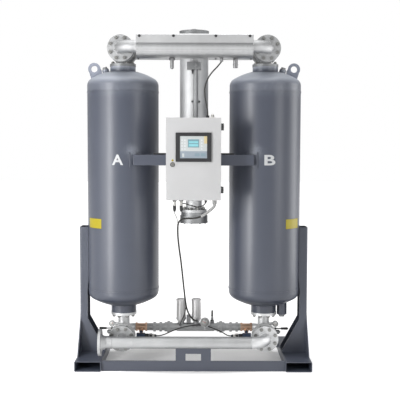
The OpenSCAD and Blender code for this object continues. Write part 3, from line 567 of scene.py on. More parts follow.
BRONZE = Metal("bronze", (0.68, 0.46, 0.33), 0.42, relief=0.0004, tint=0.15)
LOCK_NICKEL = Metal("lock_nickel", (0.30, 0.295, 0.28), 0.30)
PLATE_ZINC = Metal("plate_zinc", (0.62, 0.62, 0.60), 0.44, grain=Grain.ALONG_Z)
SOLENOID_BLUE = Moulded("solenoid_blue", (0.030, 0.050, 0.095), 0.42)
GLAND_BLACK = Moulded("gland_black", (0.016, 0.016, 0.018), 0.50)
BEZEL_BLACK = Moulded("bezel_black", (0.020, 0.020, 0.022), 0.45, edge=0.0015)
CABLE_BLACK = Moulded("cable_black", (0.026, 0.025, 0.023), 0.55, edge=0.0)
CONDUIT_GREY = Moulded("conduit_grey", (0.44, 0.44, 0.435), 0.50, edge=0.0)
BEAD_WHITE = Moulded("bead_white", (0.80, 0.79, 0.75), 0.70, relief=0.002)
PALE_PLUG = Moulded("pale_plug", (0.72, 0.71, 0.68), 0.45)
MARK_GREY = Printed("mark_grey", (0.62, 0.63, 0.64), 0.5)
FIELD_YELLOW = Printed("field_yellow", (0.41, 0.335, 0.006), 0.45)
FIELD_EDGE = Printed("field_edge", (0.10, 0.085, 0.02), 0.5)
DIAL_WHITE = Printed("dial_white", (0.80, 0.80, 0.78), 0.4)
DIAL_GREY = Printed("dial_grey", (0.46, 0.46, 0.45), 0.4)
DIAL_BLACK = Printed("dial_black", (0.02, 0.02, 0.02), 0.5)
DIAL_RED = Printed("dial_red", (0.50, 0.03, 0.02), 0.5)
SCREEN_PALE = Printed("screen_pale", (0.54, 0.57, 0.57), 0.35, glow=0.10)
SCREEN_BAR = Printed("screen_bar", (0.30, 0.35, 0.40), 0.35, glow=0.08)
SCREEN_CYAN = Printed("screen_cyan", (0.26, 0.58, 0.64), 0.35, glow=0.10)
SCREEN_SAND = Printed("screen_sand", (0.66, 0.55, 0.30), 0.35, glow=0.08)
SCREEN_LINE = Printed("screen_line", (0.18, 0.33, 0.38), 0.35, glow=0.06)
SCREEN_ICON = Printed("screen_icon", (0.66, 0.69, 0.70), 0.35, glow=0.10)
SCREEN_KEY = Printed("screen_key", (0.24, 0.32, 0.37), 0.35, glow=0.06)


def dress(finish: Finish, *nodes: str) -> None:
    """Gives CAD nodes a finish.

    Args:
        finish: the finish to use.
        nodes: names of the nodes.
    """
    for name in nodes:
        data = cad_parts[name].data
        data.materials.clear()
        data.materials.append(finish.material())
        LOG.info("dressed %s in %s", name, finish.name)


def dress_inside(finish: Finish, node: str, wall: float) -> None:
    """Gives the inner faces of a tube along Y a finish of their own.

    Args:
        finish: the finish to use.
        node: name of the tube's node.
        wall: depth below the tube's outer faces from which a face counts as an inner one.
    """
    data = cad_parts[node].data
    low, high = (Vector(corner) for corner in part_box(node))
    data.materials.append(finish.material())
    for polygon in data.polygons:
        middle = polygon.center
        within = all(low[k] + wall < middle[k] < high[k] - wall for k in (0, 2))
        if within and abs(polygon.normal.y) < END_FACING:
            polygon.material_index = len(data.materials) - 1


def axis_to(direction: Point, at: Point) -> Matrix:
    """Gives the placing whose Z axis points along a direction.

    Args:
        direction: where Z points.
        at: the origin of the placing.

    Returns:
        The placing.
    """
    turn = Vector(direction).to_track_quat("Z", "Y")
    return Matrix.Translation(at) @ turn.to_matrix().to_4x4()


@dataclass
class Mesh:
    """A mesh in the making: faces with their own finishes."""

    name: str
    finishes: list[Finish]
    work: bmesh.types.BMesh = field(default_factory=bmesh.new)

    def face(self, corners: Sequence[Point | Vector], finish: int = 0) -> None:
        """Adds one flat face.

        Args:
            corners: points in order, in metres.
            finish: index of its finish.
        """
        made = self.work.faces.new([self.work.verts.new(corner) for corner in corners])
        made.material_index = finish

    def box(self, low: Point, high: Point, finish: int = 0, bevel: float = 0.0) -> None:
        """Adds a box with broken edges.

        Args:
            low: lowest corner.
            high: highest corner.
            finish: index of its finish.
            bevel: width of the broken edges.
        """
        size = Vector(high) - Vector(low)
        middle = (Vector(high) + Vector(low)) / 2
        placing = Matrix.Translation(middle) @ Matrix.Diagonal((*size, 1.0))
        made = bmesh.ops.create_cube(self.work, size=1.0, matrix=placing)
        faces = {face for vert in made["verts"] for face in vert.link_faces}
        if bevel:
            edges = list({edge for face in faces for edge in face.edges})
            made = bmesh.ops.bevel(
                self.work, geom=edges, offset=bevel, segments=2, affect="EDGES", profile=0.5
            )
            faces |= set(made["faces"])
        for face in faces:
            if face.is_valid:
                face.material_index = finish

    def lathe(self, outline: Outline, at: Matrix, finish: int = 0, sides: int = 48) -> None:
        """Turns an outline of radii and heights about the Z axis of a placing.

        Args:
            outline: radius and height of each ring; a radius of 0 closes the end.
            at: where the axis is.
            finish: index of its finish.
            sides: number of sides.
        """
        rings = []
        for radius, height in outline:
            turns = [FULL_TURN * k / sides for k in range(sides if radius else 1)]
            ring = [Vector((radius * math.cos(a), radius * math.sin(a), height)) for a in turns]
            rings.append([self.work.verts.new(at @ point) for point in ring])
        for below, above in zip(rings, rings[1:]):
            for k in range(sides):
                loop = ((below, k), (below, k + 1), (above, k + 1), (above, k))
                corners = list(dict.fromkeys(ring[i % len(ring)] for ring, i in loop))
                if len(corners) > 2:
                    made = self.work.faces.new(corners)
                    made.material_index = finish
                    made.smooth = True

    def sweep(self, line: Sequence[Vector], reaches: Sequence[float], sides: int = 16) -> None:
        """Sweeps a round section along a line and closes both ends.

        Args:
            line: points along the middle.
            reaches: radius at each point.
            sides: number of sides.
        """
        rings = []
        side = Vector((1.0, 0.1, 0.0))
        turns = [FULL_TURN * k / sides for k in range(sides)]
        for i, (point, reach) in enumerate(zip(line, reaches)):
            ahead = (line[min(i + 1, len(line) - 1)] - line[max(i - 1, 0)]).normalized()
            side = (side - ahead * side.dot(ahead)).normalized()
            other = ahead.cross(side)
            ring = [point + reach * (math.cos(a) * side + math.sin(a) * other) for a in turns]
            rings.append([self.work.verts.new(corner) for corner in ring])
        for first, second in zip(rings, rings[1:]):
            for k in range(sides):
                near, far = k, (k + 1) % sides
                made = self.work.faces.new((first[near], first[far], second[far], second[near]))
                made.smooth = True
        self.work.faces.new(rings[0])
        self.work.faces.new(rings[-1])

    def place(self, body: Body, slot: Slot) -> bpy.types.Object:
        """Finishes the mesh as a piece that rides on a body.

        Args:
            body: the body that carries it.
            slot: the record's material slot; not used.

        Returns:
            The piece.
        """
        bmesh.ops.recalc_face_normals(self.work, faces=self.work.faces)
        data = bpy.data.meshes.new(self.name)
        self.work.to_mesh(data)
        self.work.free()
        for finish in self.finishes:
            data.materials.append(finish.material())
        piece = bpy.data.objects.new(self.name, data)
        bpy.context.scene.collection.objects.link(piece)
        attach(piece, body.value)
        LOG.info("built %s on %s", self.name, body.value)
        return piece


@dataclass
class Towers:
    """The two pressure vessels with their letters, yellow fields and inner fill."""

    axis_x: float = 0.550
    radius: float = 0.275
    skin: float = 0.0004
    letter_z: float = 1.583
    letter_height: float = 0.078
    letter_width: float = 0.083
    letter_out: float = 0.018
    letter_weight: float = 0.026
    letter_strips: int = 16
    field_z: float = 1.099
    field_height: float = 0.077
    field_from: float = 31.6
    field_to: float = 64.4
    field_rim: float = 0.0025
    field_strips: int = 20
    join_distance: float = 0.00001

    def on_shell(self, side: int, along: float, z: float) -> Point:
        """Places a point a skin's thickness out of a shell.

        Args:
            side: -1 for tower A, +1 for tower B.
            along: arc to the right of the vessel's front line, in metres.
            z: height.

        Returns:
            The point.
        """
        turn = along / self.radius
        reach = self.radius + self.skin
        return (side * self.axis_x + reach * math.sin(turn), -reach * math.cos(turn), z)

    def flat_letter(self, mark: str) -> Mesh:
        """Makes one tower letter flat, about its own middle.

        Args:
            mark: the letter, a or b.

        Returns:
            The letter's mesh.
        """
        font = bpy.data.curves.new(f"letter_{mark}_outline", "FONT")
        font.body = mark.upper()
        font.align_x = "CENTER"
        font.offset = self.letter_weight
        holder = bpy.data.objects.new(font.name, font)
        bpy.context.scene.collection.objects.link(holder)
        bpy.context.view_layer.update()
        seen = holder.evaluated_get(bpy.context.evaluated_depsgraph_get())
        flat = bpy.data.meshes.new_from_object(seen)
        bpy.data.objects.remove(holder)
        piece = Mesh(f"letter_{mark}", [MARK_GREY])
        piece.work.from_mesh(flat)
        bpy.data.meshes.remove(flat)
        for axis, size in enumerate((self.letter_width, self.letter_height)):
            places = [vert.co[axis] for vert in piece.work.verts]
            low, high = min(places), max(places)
            for vert in piece.work.verts:
                vert.co[axis] = (vert.co[axis] - (low + high) / 2) * size / (high - low)
        return piece

    def letter(self, mark: str, side: int) -> None:
        """Builds one tower letter, bent round the shell.

        Args:
            mark: the letter, a or b.
            side: -1 for tower A, +1 for tower B.
        """
        piece = self.flat_letter(mark)
        for step in range(1, self.letter_strips):
            geom = [*piece.work.verts, *piece.work.edges, *piece.work.faces]
            cut = self.letter_width * (step / self.letter_strips - 0.5)
            bmesh.ops.bisect_plane(piece.work, geom=geom, plane_co=(cut, 0.0, 0.0), plane_no=RIGHT)
        for vert in piece.work.verts:
            along = side * self.letter_out + vert.co.x
            vert.co = self.on_shell(side, along, self.letter_z + vert.co.y)
        piece.place(Body.DRYER, Slot.VESSEL_PAINT)

    def yellow_field(self, mark: str, side: int) -> None:
        """Builds one plain yellow field with a thin border.

        Args:
            mark: the tower's mark, a or b.
            side: -1 for tower A, +1 for tower B.
        """
        piece = Mesh(f"yellow_field_{mark}", [FIELD_YELLOW, FIELD_EDGE])
        angles = (self.field_from, self.field_to)
        start, end = (math.radians(a) * self.radius * side for a in angles)
        low = self.field_z - self.field_height / 2
        rim = self.field_rim / abs(end - start)
        inner = [k / self.field_strips for k in range(1, self.field_strips)]
        columns = [0.0, rim, *inner, 1.0 - rim, 1.0]
        rows = [0.0, self.field_rim, self.field_height - self.field_rim, self.field_height]
        for left, right in zip(columns, columns[1:]):
            for bottom, top in zip(rows, rows[1:]):
                edge = left == 0.0 or right == 1.0 or bottom == 0.0 or top == self.field_height
                a, b = (start + (end - start) * share for share in (left, right))
                corners = ((a, bottom), (b, bottom), (b, top), (a, top))
                piece.face([self.on_shell(side, u, low + v) for u, v in corners], int(edge))
        bmesh.ops.remove_doubles(piece.work, verts=piece.work.verts, dist=self.join_distance)
        piece.place(Body.DRYER, Slot.VESSEL_PAINT)

    def build(self) -> None:
        """Dresses the vessels and builds their marks."""
        # the vessels' paint has painted top light on the heads
        dress(VESSEL_PAINT, "vessel_a", "vessel_b")
        # lifting eyes in the lighter copy of the paint: painted light
        dress(LIT_EYE_PAINT, "lifting_eye_a", "lifting_eye_b")
        dress(BEAD_WHITE, "desiccant_beds")
        dress(PIPE_STEEL, "bed_screens", "port_plugs")
        for side, mark in TOWER_SIDES:
            self.letter(mark, side)
        for side, mark in TOWER_SIDES:
            self.yellow_field(mark, side)


@dataclass
class BaseFrame:
    """Fork tubes, beams, legs, the pipe support and the carrier bar with its welds; the fork pockets
    have painted shade inside.
    """

    tubes: tuple[str, ...] = ("fork_tube_left", "fork_tube_right")
    beams: tuple[str, ...] = ("cross_beams", "pipe_support", "leg_left", "leg_right", "cabinet_bar")
    pocket_wall: float = 0.002
    bead_r: float = 0.0042
    bead_rings: int = 41
    bead_sides: int = 20
    ripple: float = 0.06
    ripple_turn: float = 2.4
    pad_edge: Pair = (0.4752, -0.2694)
    pad_span: Pair = (1.524, 1.640)
    bar_end: Pair = (0.4470, -0.2860)
    bar_span: Pair = (1.543, 1.621)

    def bead(self, name: str, at: Pair, span: Pair) -> None:
        """Builds one painted fillet weld that runs upright.

        Args:
            name: name of the piece.
            at: X and Y of its middle.
            span: heights of its lower and upper end.
        """
        piece = Mesh(name, [TOWER_PAINT])
        low, high = span
        rings = []
        for k in range(self.bead_rings):
            radius = self.bead_r * (1.0 + self.ripple * math.sin(k * self.ripple_turn))
            rings.append((radius, low + (high - low) * k / (self.bead_rings - 1)))
        outline = [(0.0, low), *rings, (0.0, high)]
        piece.lathe(outline, Matrix.Translation((*at, 0.0)), sides=self.bead_sides)
        piece.place(Body.DRYER, Slot.VESSEL_PAINT)

    def build(self) -> None:
        """Dresses the base, with painted shade inside the fork pockets, and builds the welds of the
        cabinet's carrier bar.
        """
        dress(TOWER_PAINT, *self.tubes, *self.beams)
        for tube in self.tubes:
            # painted shade on the inner faces of the fork pockets
            dress_inside(POCKET_SHADE_PAINT, tube, self.pocket_wall)
        for side, mark in TOWER_SIDES:
            for name, (x, y), span in (
                ("pad_weld", self.pad_edge, self.pad_span),
                ("bar_weld", self.bar_end, self.bar_span),
            ):
                self.bead(f"{name}_{mark}", (side * x, y), span)


@dataclass
class Pipework:
    """Flanged pipes, valves, guard and studs, with the weld beads of the pipe joints."""

    pipe_r: float = 0.04445
    bead: float = 0.0022
    sink: float = 0.0005
    weld_sides: int = 72
    ripple: float = 0.006
    ripples: int = 18
    inlet_y: float = -0.3223
    inlet_z: float = 0.213
    inlet_welds: tuple[float, ...] = (-0.612, -0.460, 0.4357)
    outlet_y: float = 0.2312
    top_z: float = 2.41634
    outlet_welds: tuple[float, ...] = (-0.4738, 0.4738)
    lip_front: Pair = (-0.4142, -0.4088)
    lip_back: Pair = (0.4282, -0.4076)
    lip_down: float = 0.004
    lip_up: float = 0.018
    lip_bevel: float = 0.0003

    def weld(self, name: str, at: Point) -> None:
        """Builds one weld bead round a pipe along X.

        Args:
            name: name of the piece.
            at: centre of the bead.
        """
        piece = Mesh(name, [PIPE_STEEL_X])
        foot, crown = self.pipe_r - self.sink, self.pipe_r + self.bead
        outline = [
            (foot, -2 * self.bead),
            (crown, -self.bead),
            (crown, self.bead),
            (foot, 2 * self.bead),
        ]
        piece.lathe(outline, axis_to(RIGHT, at), sides=self.weld_sides)
        wave = FULL_TURN * self.ripples / self.weld_sides
        for k, vert in enumerate(piece.work.verts):
            swell = 1.0 + self.ripple * math.sin(k % self.weld_sides * wave)
            vert.co = Vector(at) + (vert.co - Vector(at)) * swell
        piece.place(Body.DRYER, Slot.STAINLESS)

    def lip(self) -> None:
        """Builds the strip that closes the guard between its cover and its trough."""
        piece = Mesh("guard_lip", [PIPE_STEEL])
        low = (*self.lip_front, self.top_z - self.lip_down)
        high = (*self.lip_back, self.top_z + self.lip_up)
        piece.box(low, high, bevel=self.lip_bevel)
        piece.place(Body.DRYER, Slot.GUARD_SHEET)

    def build(self) -> None:
        """Dresses the pipework and builds the guard's lip and the weld beads."""
        dress(PIPE_STEEL, "top_tee_a", "top_tee_b", "outlet_elbows")
        # bottom tees and inlet elbow in the lighter copy of the stainless: painted light
        dress(LOWER_STEEL_PAINTED_LIGHT, "bottom_tee_a", "bottom_tee_b", "inlet_elbow")
        dress(PROBE_STEEL, "header_probes")
        dress(ELBOW_STEEL, "purge_elbows")
        dress(PIPE_STEEL_X, "purge_header", "outlet_header", "inlet_flange", "inlet_header")
        dress(GUARD_MESH, "guard_trough")
        dress(GUARD_STEEL, "guard_cover")
        dress(VALVE_STEEL, "check_valves", "inlet_valves")
        dress(STUD_ZINC, "flange_studs")
        dress(BLACK_IRON, "guard_screws")
        self.lip()
        for k, x in enumerate(self.inlet_welds):
            self.weld(f"inlet_weld_{k}", (x, self.inlet_y, self.inlet_z))
        for k, x in enumerate(self.outlet_welds):
            self.weld(f"outlet_weld_{k}", (x, self.outlet_y, self.top_z))


@dataclass
class Heater:
    """The heater column with its lid, rods, head and purge tube."""

    tube: Pair = (0.014, -0.1396)
    nipple_at: Point = (-0.0110, -0.1536, 2.26234)
    nipple: Outline = (
        (0.0, -0.0360), (0.0034, -0.0355), (0.0034, -0.0250), (0.0056, -0.0245),
        (0.0056, -0.0120), (0.0075, -0.0118), (0.0075, 0.0),
    )
    clamp_z: float = 2.02334
    screw_apart: float = 0.0275
    screw_out: float = 0.0040
    screw: Outline = ((0.0058, 0.0), (0.0058, 0.0040), (0.0050, 0.0048), (0.0, 0.0048))

    def tube_fittings(self) -> None:
        """Builds the drain nipple under the purge tube's block and the screws of its clamp."""
        nipple = Mesh("purge_nipple", [BLACK_IRON])
        nipple.lathe(self.nipple, Matrix.Translation(self.nipple_at), sides=24)
        nipple.place(Body.DRYER, Slot.DARK_FASTENERS)
        screws = Mesh("clamp_screws", [BLACK_IRON])
        x, y = self.tube
        for side in (-1, 1):
            at = (x + side * self.screw_apart, y - self.screw_out, self.clamp_z)
            screws.lathe(self.screw, axis_to(FRONT, at), sides=6)
        screws.place(Body.DRYER, Slot.DARK_FASTENERS)

    def build(self) -> None:
        """Dresses the heater and builds the purge tube's fittings."""
        dress(COLUMN_STEEL, "heater_column")
        dress(PIPE_STEEL, "heater_head", "heater_lid", "purge_tube")
        dress(ROD_STEEL, "heater_elements")
        self.tube_fittings()


@dataclass(frozen=True)
class DialBar:
    """A flat bar along a dial's radius: its ends and width as shares of that, and its lift."""

    near: float
    far: float
    width: float
    lift: float
    finish: int


MAJOR_TICK = DialBar(0.68, 0.92, 0.05, 0.0006, 1)
MINOR_TICK = DialBar(0.78, 0.92, 0.03, 0.0006, 1)
NEEDLE = DialBar(-0.2, 0.75, 0.07, 0.0009, 2)


@dataclass(frozen=True)
class Dial:
    """A gauge's dial, which faces the front. Angles are from straight up, in degrees."""

    name: str
    at: Point
    radius: float
    needle: float
    ground: Finish
    thick: float = 0.0004
    start: float = -135.0
    step: float = 13.5
    ticks: int = 21
    major_every: int = 5

    def add(self, piece: Mesh, bar: DialBar, angle: float) -> None:
        """Adds one bar to the dial.

        Args:
            piece: the dial's mesh.
            bar: the bar.
            angle: its angle.
        """
        turn = math.radians(angle)
        out = Vector((math.sin(turn), 0.0, math.cos(turn)))
        across = Vector((math.cos(turn), 0.0, -math.sin(turn))) * bar.width / 2
        base = Vector(self.at) + Vector(FRONT) * bar.lift
        ends = ((bar.near, -1), (bar.far, -1), (bar.far, 1), (bar.near, 1))
        corners = [base + (out * share + across * side) * self.radius for share, side in ends]
        piece.face(corners, bar.finish)

    def build(self) -> None:
        """Builds the dial with its ticks and needle."""
        piece = Mesh(self.name, [self.ground, DIAL_BLACK, DIAL_RED])
        disc = ((0.0, self.thick), (self.radius, self.thick), (self.radius, 0.0))
        piece.lathe(disc, axis_to(FRONT, self.at))
        for k in range(self.ticks):
            tick = MINOR_TICK if k % self.major_every else MAJOR_TICK
            self.add(piece, tick, self.start + self.step * k)
        self.add(piece, NEEDLE, self.needle)
        piece.place(Body.DRYER, Slot.GAUGE_CASE)


@dataclass
class ExhaustLine:
    """Bronze valves, solenoids, silencers and gauges at the back, with the gauges' dials."""

    tower_gauge: Point = (0.644, -0.009, 0.288)
    tower_dial_r: float = 0.0185
    line_gauge: Point = (0.090, 0.109, 0.271)
    line_dial_r: float = 0.0325
    needles: tuple[float, ...] = (40.0, -100.0, -60.0)
    coil: Point = (0.427, 0.128, 0.158)
    nose: Outline = ((0.0170, 0.0340), (0.0182, 0.0345), (0.0182, 0.0570), (0.0165, 0.0655))
    plug_span: Pair = (0.0665, 0.0945)
    plug_half: float = 0.0162
    plug_bevel: float = 0.0025
    collar: Outline = ((0.0100, 0.0950), (0.0128, 0.0955), (0.0128, 0.1090), (0.0118, 0.1095))
    nut: Outline = ((0.0118, 0.1095), (0.0124, 0.1100), (0.0124, 0.1210), (0.0060, 0.1255))
    switch: Point = (0.149, 0.211, 0.0)
    boot: Outline = (
        (0.0062, 0.2990), (0.0085, 0.3000), (0.0085, 0.3060), (0.0074, 0.3070),
        (0.0078, 0.3200), (0.0070, 0.3380), (0.0064, 0.3498), (0.0, 0.3505),
    )
    boot_ring: Outline = ((0.0101, 0.2640), (0.0140, 0.2642), (0.0140, 0.2710), (0.0101, 0.2715))

    def connector(self, mark: str, side: int) -> None:
        """Builds the black nose and pale plug of one solenoid.

        Args:
            mark: the tower's mark, a or b.
            side: -1 for tower A, +1 for tower B.
        """
        x, y, z = self.coil
        half = self.plug_half
        piece = Mesh(f"solenoid_plug_{mark}", [GLAND_BLACK, PALE_PLUG])
        inward = axis_to((-side, 0.0, 0.0), (side * x, y, z))
        piece.lathe(self.nose, inward, 0, sides=40)
        near, far = sorted(side * (x - reach) for reach in self.plug_span)
        piece.box((near, y - half, z - half), (far, y + half, z + half), 1, self.plug_bevel)
        piece.lathe(self.collar, inward, 1, sides=32)
        piece.lathe(self.nut, inward, 0, sides=6)
        piece.place(Body.DRYER, Slot.SOLENOID_PLASTIC)

    def switch_boot(self) -> None:
        """Builds the dark rubber boot and collar of the pressure switch."""
        piece = Mesh("switch_boot", [GLAND_BLACK])
        for outline in (self.boot, self.boot_ring):
            piece.lathe(outline, Matrix.Translation(self.switch), sides=32)
        piece.place(Body.DRYER, Slot.FITTING_GREY)

    def build(self) -> None:
        """Dresses the exhaust line and builds its dials, plugs and boot."""
        dress(BRONZE, "exhaust_valves")
        dress(SOLENOID_BLUE, "exhaust_solenoids")
        dress(PIPE_STEEL_X, "exhaust_manifold")
        dress(FITTING_PAINT, "manifold_fittings")
        dress(SILENCER_METAL, "silencers")
        dress(COLUMN_STEEL, "pressure_gauges")
        dress(PIPE_STEEL, "drain_valves")
        dress(BLACK_IRON, "lever_a", "lever_b")
        x, y, z = self.tower_gauge
        for dial in (
            Dial("dial_tower_a", (-x, y, z), self.tower_dial_r, self.needles[0], DIAL_WHITE),
            Dial("dial_tower_b", (x, y, z), self.tower_dial_r, self.needles[1], DIAL_WHITE),
            Dial("dial_line", self.line_gauge, self.line_dial_r, self.needles[2], DIAL_GREY),
        ):
            dial.build()
        for side, mark in TOWER_SIDES:
            self.connector(mark, side)
        self.switch_boot()


@dataclass(frozen=True)
class Patch:
    """A field of the display's picture, in millimetres from its centre, and its layer."""

    left: float
    low: float
    right: float
    high: float
    tone: Finish
    layer: int


@dataclass
class Display:
    """The lit picture on the cabinet's display: plain fields of a control page."""

    face_y: float = -0.4528
    middle_z: float = 1.6785
    half_w: float = 98.0
    half_h: float = 80.0
    layer_step: float = 0.00015
    icon_columns: tuple[float, ...] = (-88.0, -68.0, 54.0)
    icon_rows: tuple[float, ...] = (-18.0, 3.0, 24.0, 45.0)
    icon_w: float = 11.0
    icon_h: float = 10.0

    def icons(self) -> list[Patch]:
        """Gives the pale icons on both sides of the page."""
        places = [(x, z) for x in self.icon_columns for z in self.icon_rows]
        return [Patch(x, z, x + self.icon_w, z + self.icon_h, SCREEN_ICON, 1) for x, z in places]

    def patches(self) -> list[Patch]:
        """Gives every field of the page.

        Returns:
            The fields, the ground first.
        """
        w, h = self.half_w, self.half_h
        return [
            Patch(-w, -h, w, h, SCREEN_PALE, 0),
            Patch(-w, -h, w, -29.0, SCREEN_BAR, 1),
            Patch(-82.0, -72.0, -67.0, -45.0, SCREEN_PALE, 2),
            Patch(8.0, -66.0, 44.0, -44.0, SCREEN_KEY, 2),
            Patch(52.0, -66.0, 88.0, -44.0, SCREEN_KEY, 2),
            Patch(-41.0, -2.0, 41.0, 57.0, SCREEN_LINE, 1),
            Patch(-33.0, 30.0, 33.0, 43.0, SCREEN_CYAN, 2),
            Patch(-33.0, 6.0, 33.0, 23.0, SCREEN_CYAN, 2),
            *self.icons(),
            Patch(76.0, 26.0, w, h, SCREEN_SAND, 1),
        ]

    def build(self) -> None:
        """Dresses the display and builds its picture."""
        dress(BEZEL_BLACK, "display")
        tones = [
            SCREEN_PALE, SCREEN_BAR, SCREEN_CYAN, SCREEN_SAND, SCREEN_LINE, SCREEN_ICON, SCREEN_KEY,
        ]
        piece = Mesh("display_picture", tones)
        for patch in self.patches():
            y = self.face_y - patch.layer * self.layer_step
            left, low, right, high = patch.left, patch.low, patch.right, patch.high
            edges = ((left, low), (right, low), (right, high), (left, high))
            corners = [(x * MM, y, self.middle_z + z * MM) for x, z in edges]
            piece.face(corners, tones.index(patch.tone))
        piece.place(Body.DOOR, Slot.BEZEL_BLACK)


@dataclass
class Cabinet:
    """The control cabinet with its door and small fittings."""

    lock: Point = (-0.152, -0.447, 1.553)
    mark_up: float = 0.030
    mark: Outline = ((0.0, 0.0010), (0.0070, 0.0010), (0.0078, 0.0004), (0.0078, 0.0))
    lock_ring: Outline = (
        (0.0143, 0.0), (0.0143, 0.0024), (0.0150, 0.0034),
        (0.0164, 0.0034), (0.0172, 0.0026), (0.0172, 0.0),
    )
    seal_y: Pair = (-0.4330, -0.4271)
    seal_z: Pair = (1.298, 1.886)
    seal_half: float = 0.194
    seal_width: float = 0.010
    soft_bevel: float = 0.002
    hinge: Pair = (0.211, -0.437)
    hinge_z: Pair = (1.369, 1.825)
    knuckle_r: float = 0.0086
    knuckle_half: float = 0.0120
    leaf_x: float = 0.2002
    leaf_y: Pair = (-0.4472, -0.4410)
    leaf_bevel: float = 0.0008
    breather: Point = (0.138, -0.360, 1.892)
    dome_r: float = 0.0118
    dome_z: float = 0.0180
    dome_foot: Outline = ((0.0135, 0.0), (0.0135, 0.011), (0.0120, 0.012))
    dome_angles: tuple[int, ...] = tuple(range(-20, 90, 12))
    conduit: Point = (0.155, -0.360, 0.0)
    conduit_rings: Outline = (
        (0.0146, 1.2600), (0.0158, 1.2605), (0.0158, 1.2700), (0.0150, 1.2710),
        (0.0162, 1.2720), (0.0162, 1.2900), (0.0146, 1.2905),
    )
    plugs: tuple[Point, ...] = ((-0.140, -0.360, 0.0), (-0.091, -0.360, 0.0))
    plug_rings: Outline = (
        (0.0097, 1.2490), (0.0112, 1.2490), (0.0112, 1.2560), (0.0104, 1.2565),
        (0.0104, 1.2740), (0.0116, 1.2745), (0.0116, 1.2815), (0.0097, 1.2815),
    )
    strip_low: Point = (-0.300, -0.2762, 1.6221)
    strip_high: Point = (0.300, -0.2622, 1.6345)

    def lock_mark(self) -> None:
        """Builds the small enamelled mark above the lock and the dark ring round it."""
        x, y, z = self.lock
        piece = Mesh("lock_mark", [FIELD_YELLOW, DIAL_BLACK])
        piece.lathe(self.mark, axis_to(FRONT, (x, y, z + self.mark_up)), 0)
        piece.lathe(self.lock_ring, axis_to(FRONT, self.lock), 1)
        piece.place(Body.DOOR, Slot.CABINET_PAINT)

    def seal(self) -> None:
        """Builds the foam seal behind the door's edge, clear of the body."""
        piece = Mesh("door_seal", [GLAND_BLACK])
        (front, back), (low, high) = self.seal_y, self.seal_z
        half, width = self.seal_half, self.seal_width
        for x0, x1, z0, z1 in (
            (-half, half, low, low + width),
            (-half, half, high - width, high),
            (-half, width - half, low + width, high - width),
            (half - width, half, low + width, high - width),
        ):
            piece.box((x0, front, z0), (x1, back, z1), bevel=self.soft_bevel)
        piece.place(Body.DOOR, Slot.GLAND_BLACK)

    def hinge_covers(self) -> None:
        """Builds the dark covers of the door's own hinge knuckles."""
        x, y = self.hinge
        front, back = self.leaf_y
        radius, half = self.knuckle_r, self.knuckle_half
        outline = ((0.0, -half), (radius, -half), (radius, half), (0.0, half))
        for k, z in enumerate(self.hinge_z):
            piece = Mesh(f"hinge_cover_{k}", [BLACK_IRON])
            piece.lathe(outline, Matrix.Translation((x, y, z)), sides=32)
            low, high = (self.leaf_x, front, z - half), (x, back, z + half)
            piece.box(low, high, bevel=self.leaf_bevel)
            piece.place(Body.DOOR, Slot.HINGE_BLACK)

    def breather_dome(self) -> None:
        """Builds the pale dome of the breather on the cabinet's top."""
        turns = [math.radians(angle) for angle in self.dome_angles]
        dome = [(self.dome_r * math.cos(a), self.dome_z + self.dome_r * math.sin(a)) for a in turns]
        outline = [*self.dome_foot, *dome, (0.0, self.dome_z + self.dome_r)]
        piece = Mesh("breather_dome", [PALE_PLUG])
        piece.lathe(outline, Matrix.Translation(self.breather), sides=32)
        piece.place(Body.DRYER, Slot.FITTING_GREY)

    def lower_fittings(self) -> None:
        """Builds the conduit's collar and the pale sleeves of the two plugs under the cabinet."""
        collar = Mesh("conduit_collar", [CONDUIT_GREY])
        collar.lathe(self.conduit_rings, Matrix.Translation(self.conduit), sides=40)
        collar.place(Body.DRYER, Slot.CONDUIT_GREY)
        for k, at in enumerate(self.plugs):
            sleeve = Mesh(f"plug_sleeve_{k}", [PALE_PLUG])
            sleeve.lathe(self.plug_rings, Matrix.Translation(at), sides=32)
            sleeve.place(Body.DRYER, Slot.FITTING_GREY)

    def bar_strip(self) -> None:
        """Builds a thin black strip along the rear upper edge of the carrier bar."""
        piece = Mesh("bar_strip", [GLAND_BLACK])
        piece.box(self.strip_low, self.strip_high, bevel=self.soft_bevel)
        piece.place(Body.DRYER, Slot.GLAND_BLACK)

    def build(self) -> None:
        """Dresses the cabinet and builds its small pieces."""
        dress(CABINET_PAINT, "cabinet_box", "cabinet_frame", "cabinet_door")
        dress(BLACK_IRON, "door_hinges")
        dress(PLATE_ZINC, "control_plate")
        dress(GLAND_BLACK, "cable_glands")
        dress(LOCK_NICKEL, "door_lock")
        self.lock_mark()
        self.seal()
        self.hinge_covers()
        self.breather_dome()
        self.lower_fittings()
        self.bar_strip()


@dataclass(frozen=True)
class Route:
    """One cable: its node, its diameter and sheath, how it lies, and its points in millimetres."""

    node: str
    diameter: float
    finish: Finish
    slot: Slot
    stiffness: Stiffness
    lay: Lay
    points: tuple[Point, ...]

    def path(self, steps: int) -> list[Vector]:
        """Gives a smooth line through the points, in metres.

        Args:
            steps: parts between two points.

        Returns:
            The points of the line.
        """
        p = [Vector(point) * MM for point in self.points]
        line = []
        for i in range(len(p) - 1):
            a, b, c, d = p[max(i - 1, 0)], p[i], p[i + 1], p[min(i + 2, len(p) - 1)]
            once, twice, thrice = c - a, 2 * a - 5 * b + 4 * c - d, 3 * b - a - 3 * c + d
            for k in range(steps):
                t = k / steps
                line.append(0.5 * (2 * b + once * t + twice * t**2 + thrice * t**3))
        return [*line, p[-1]]


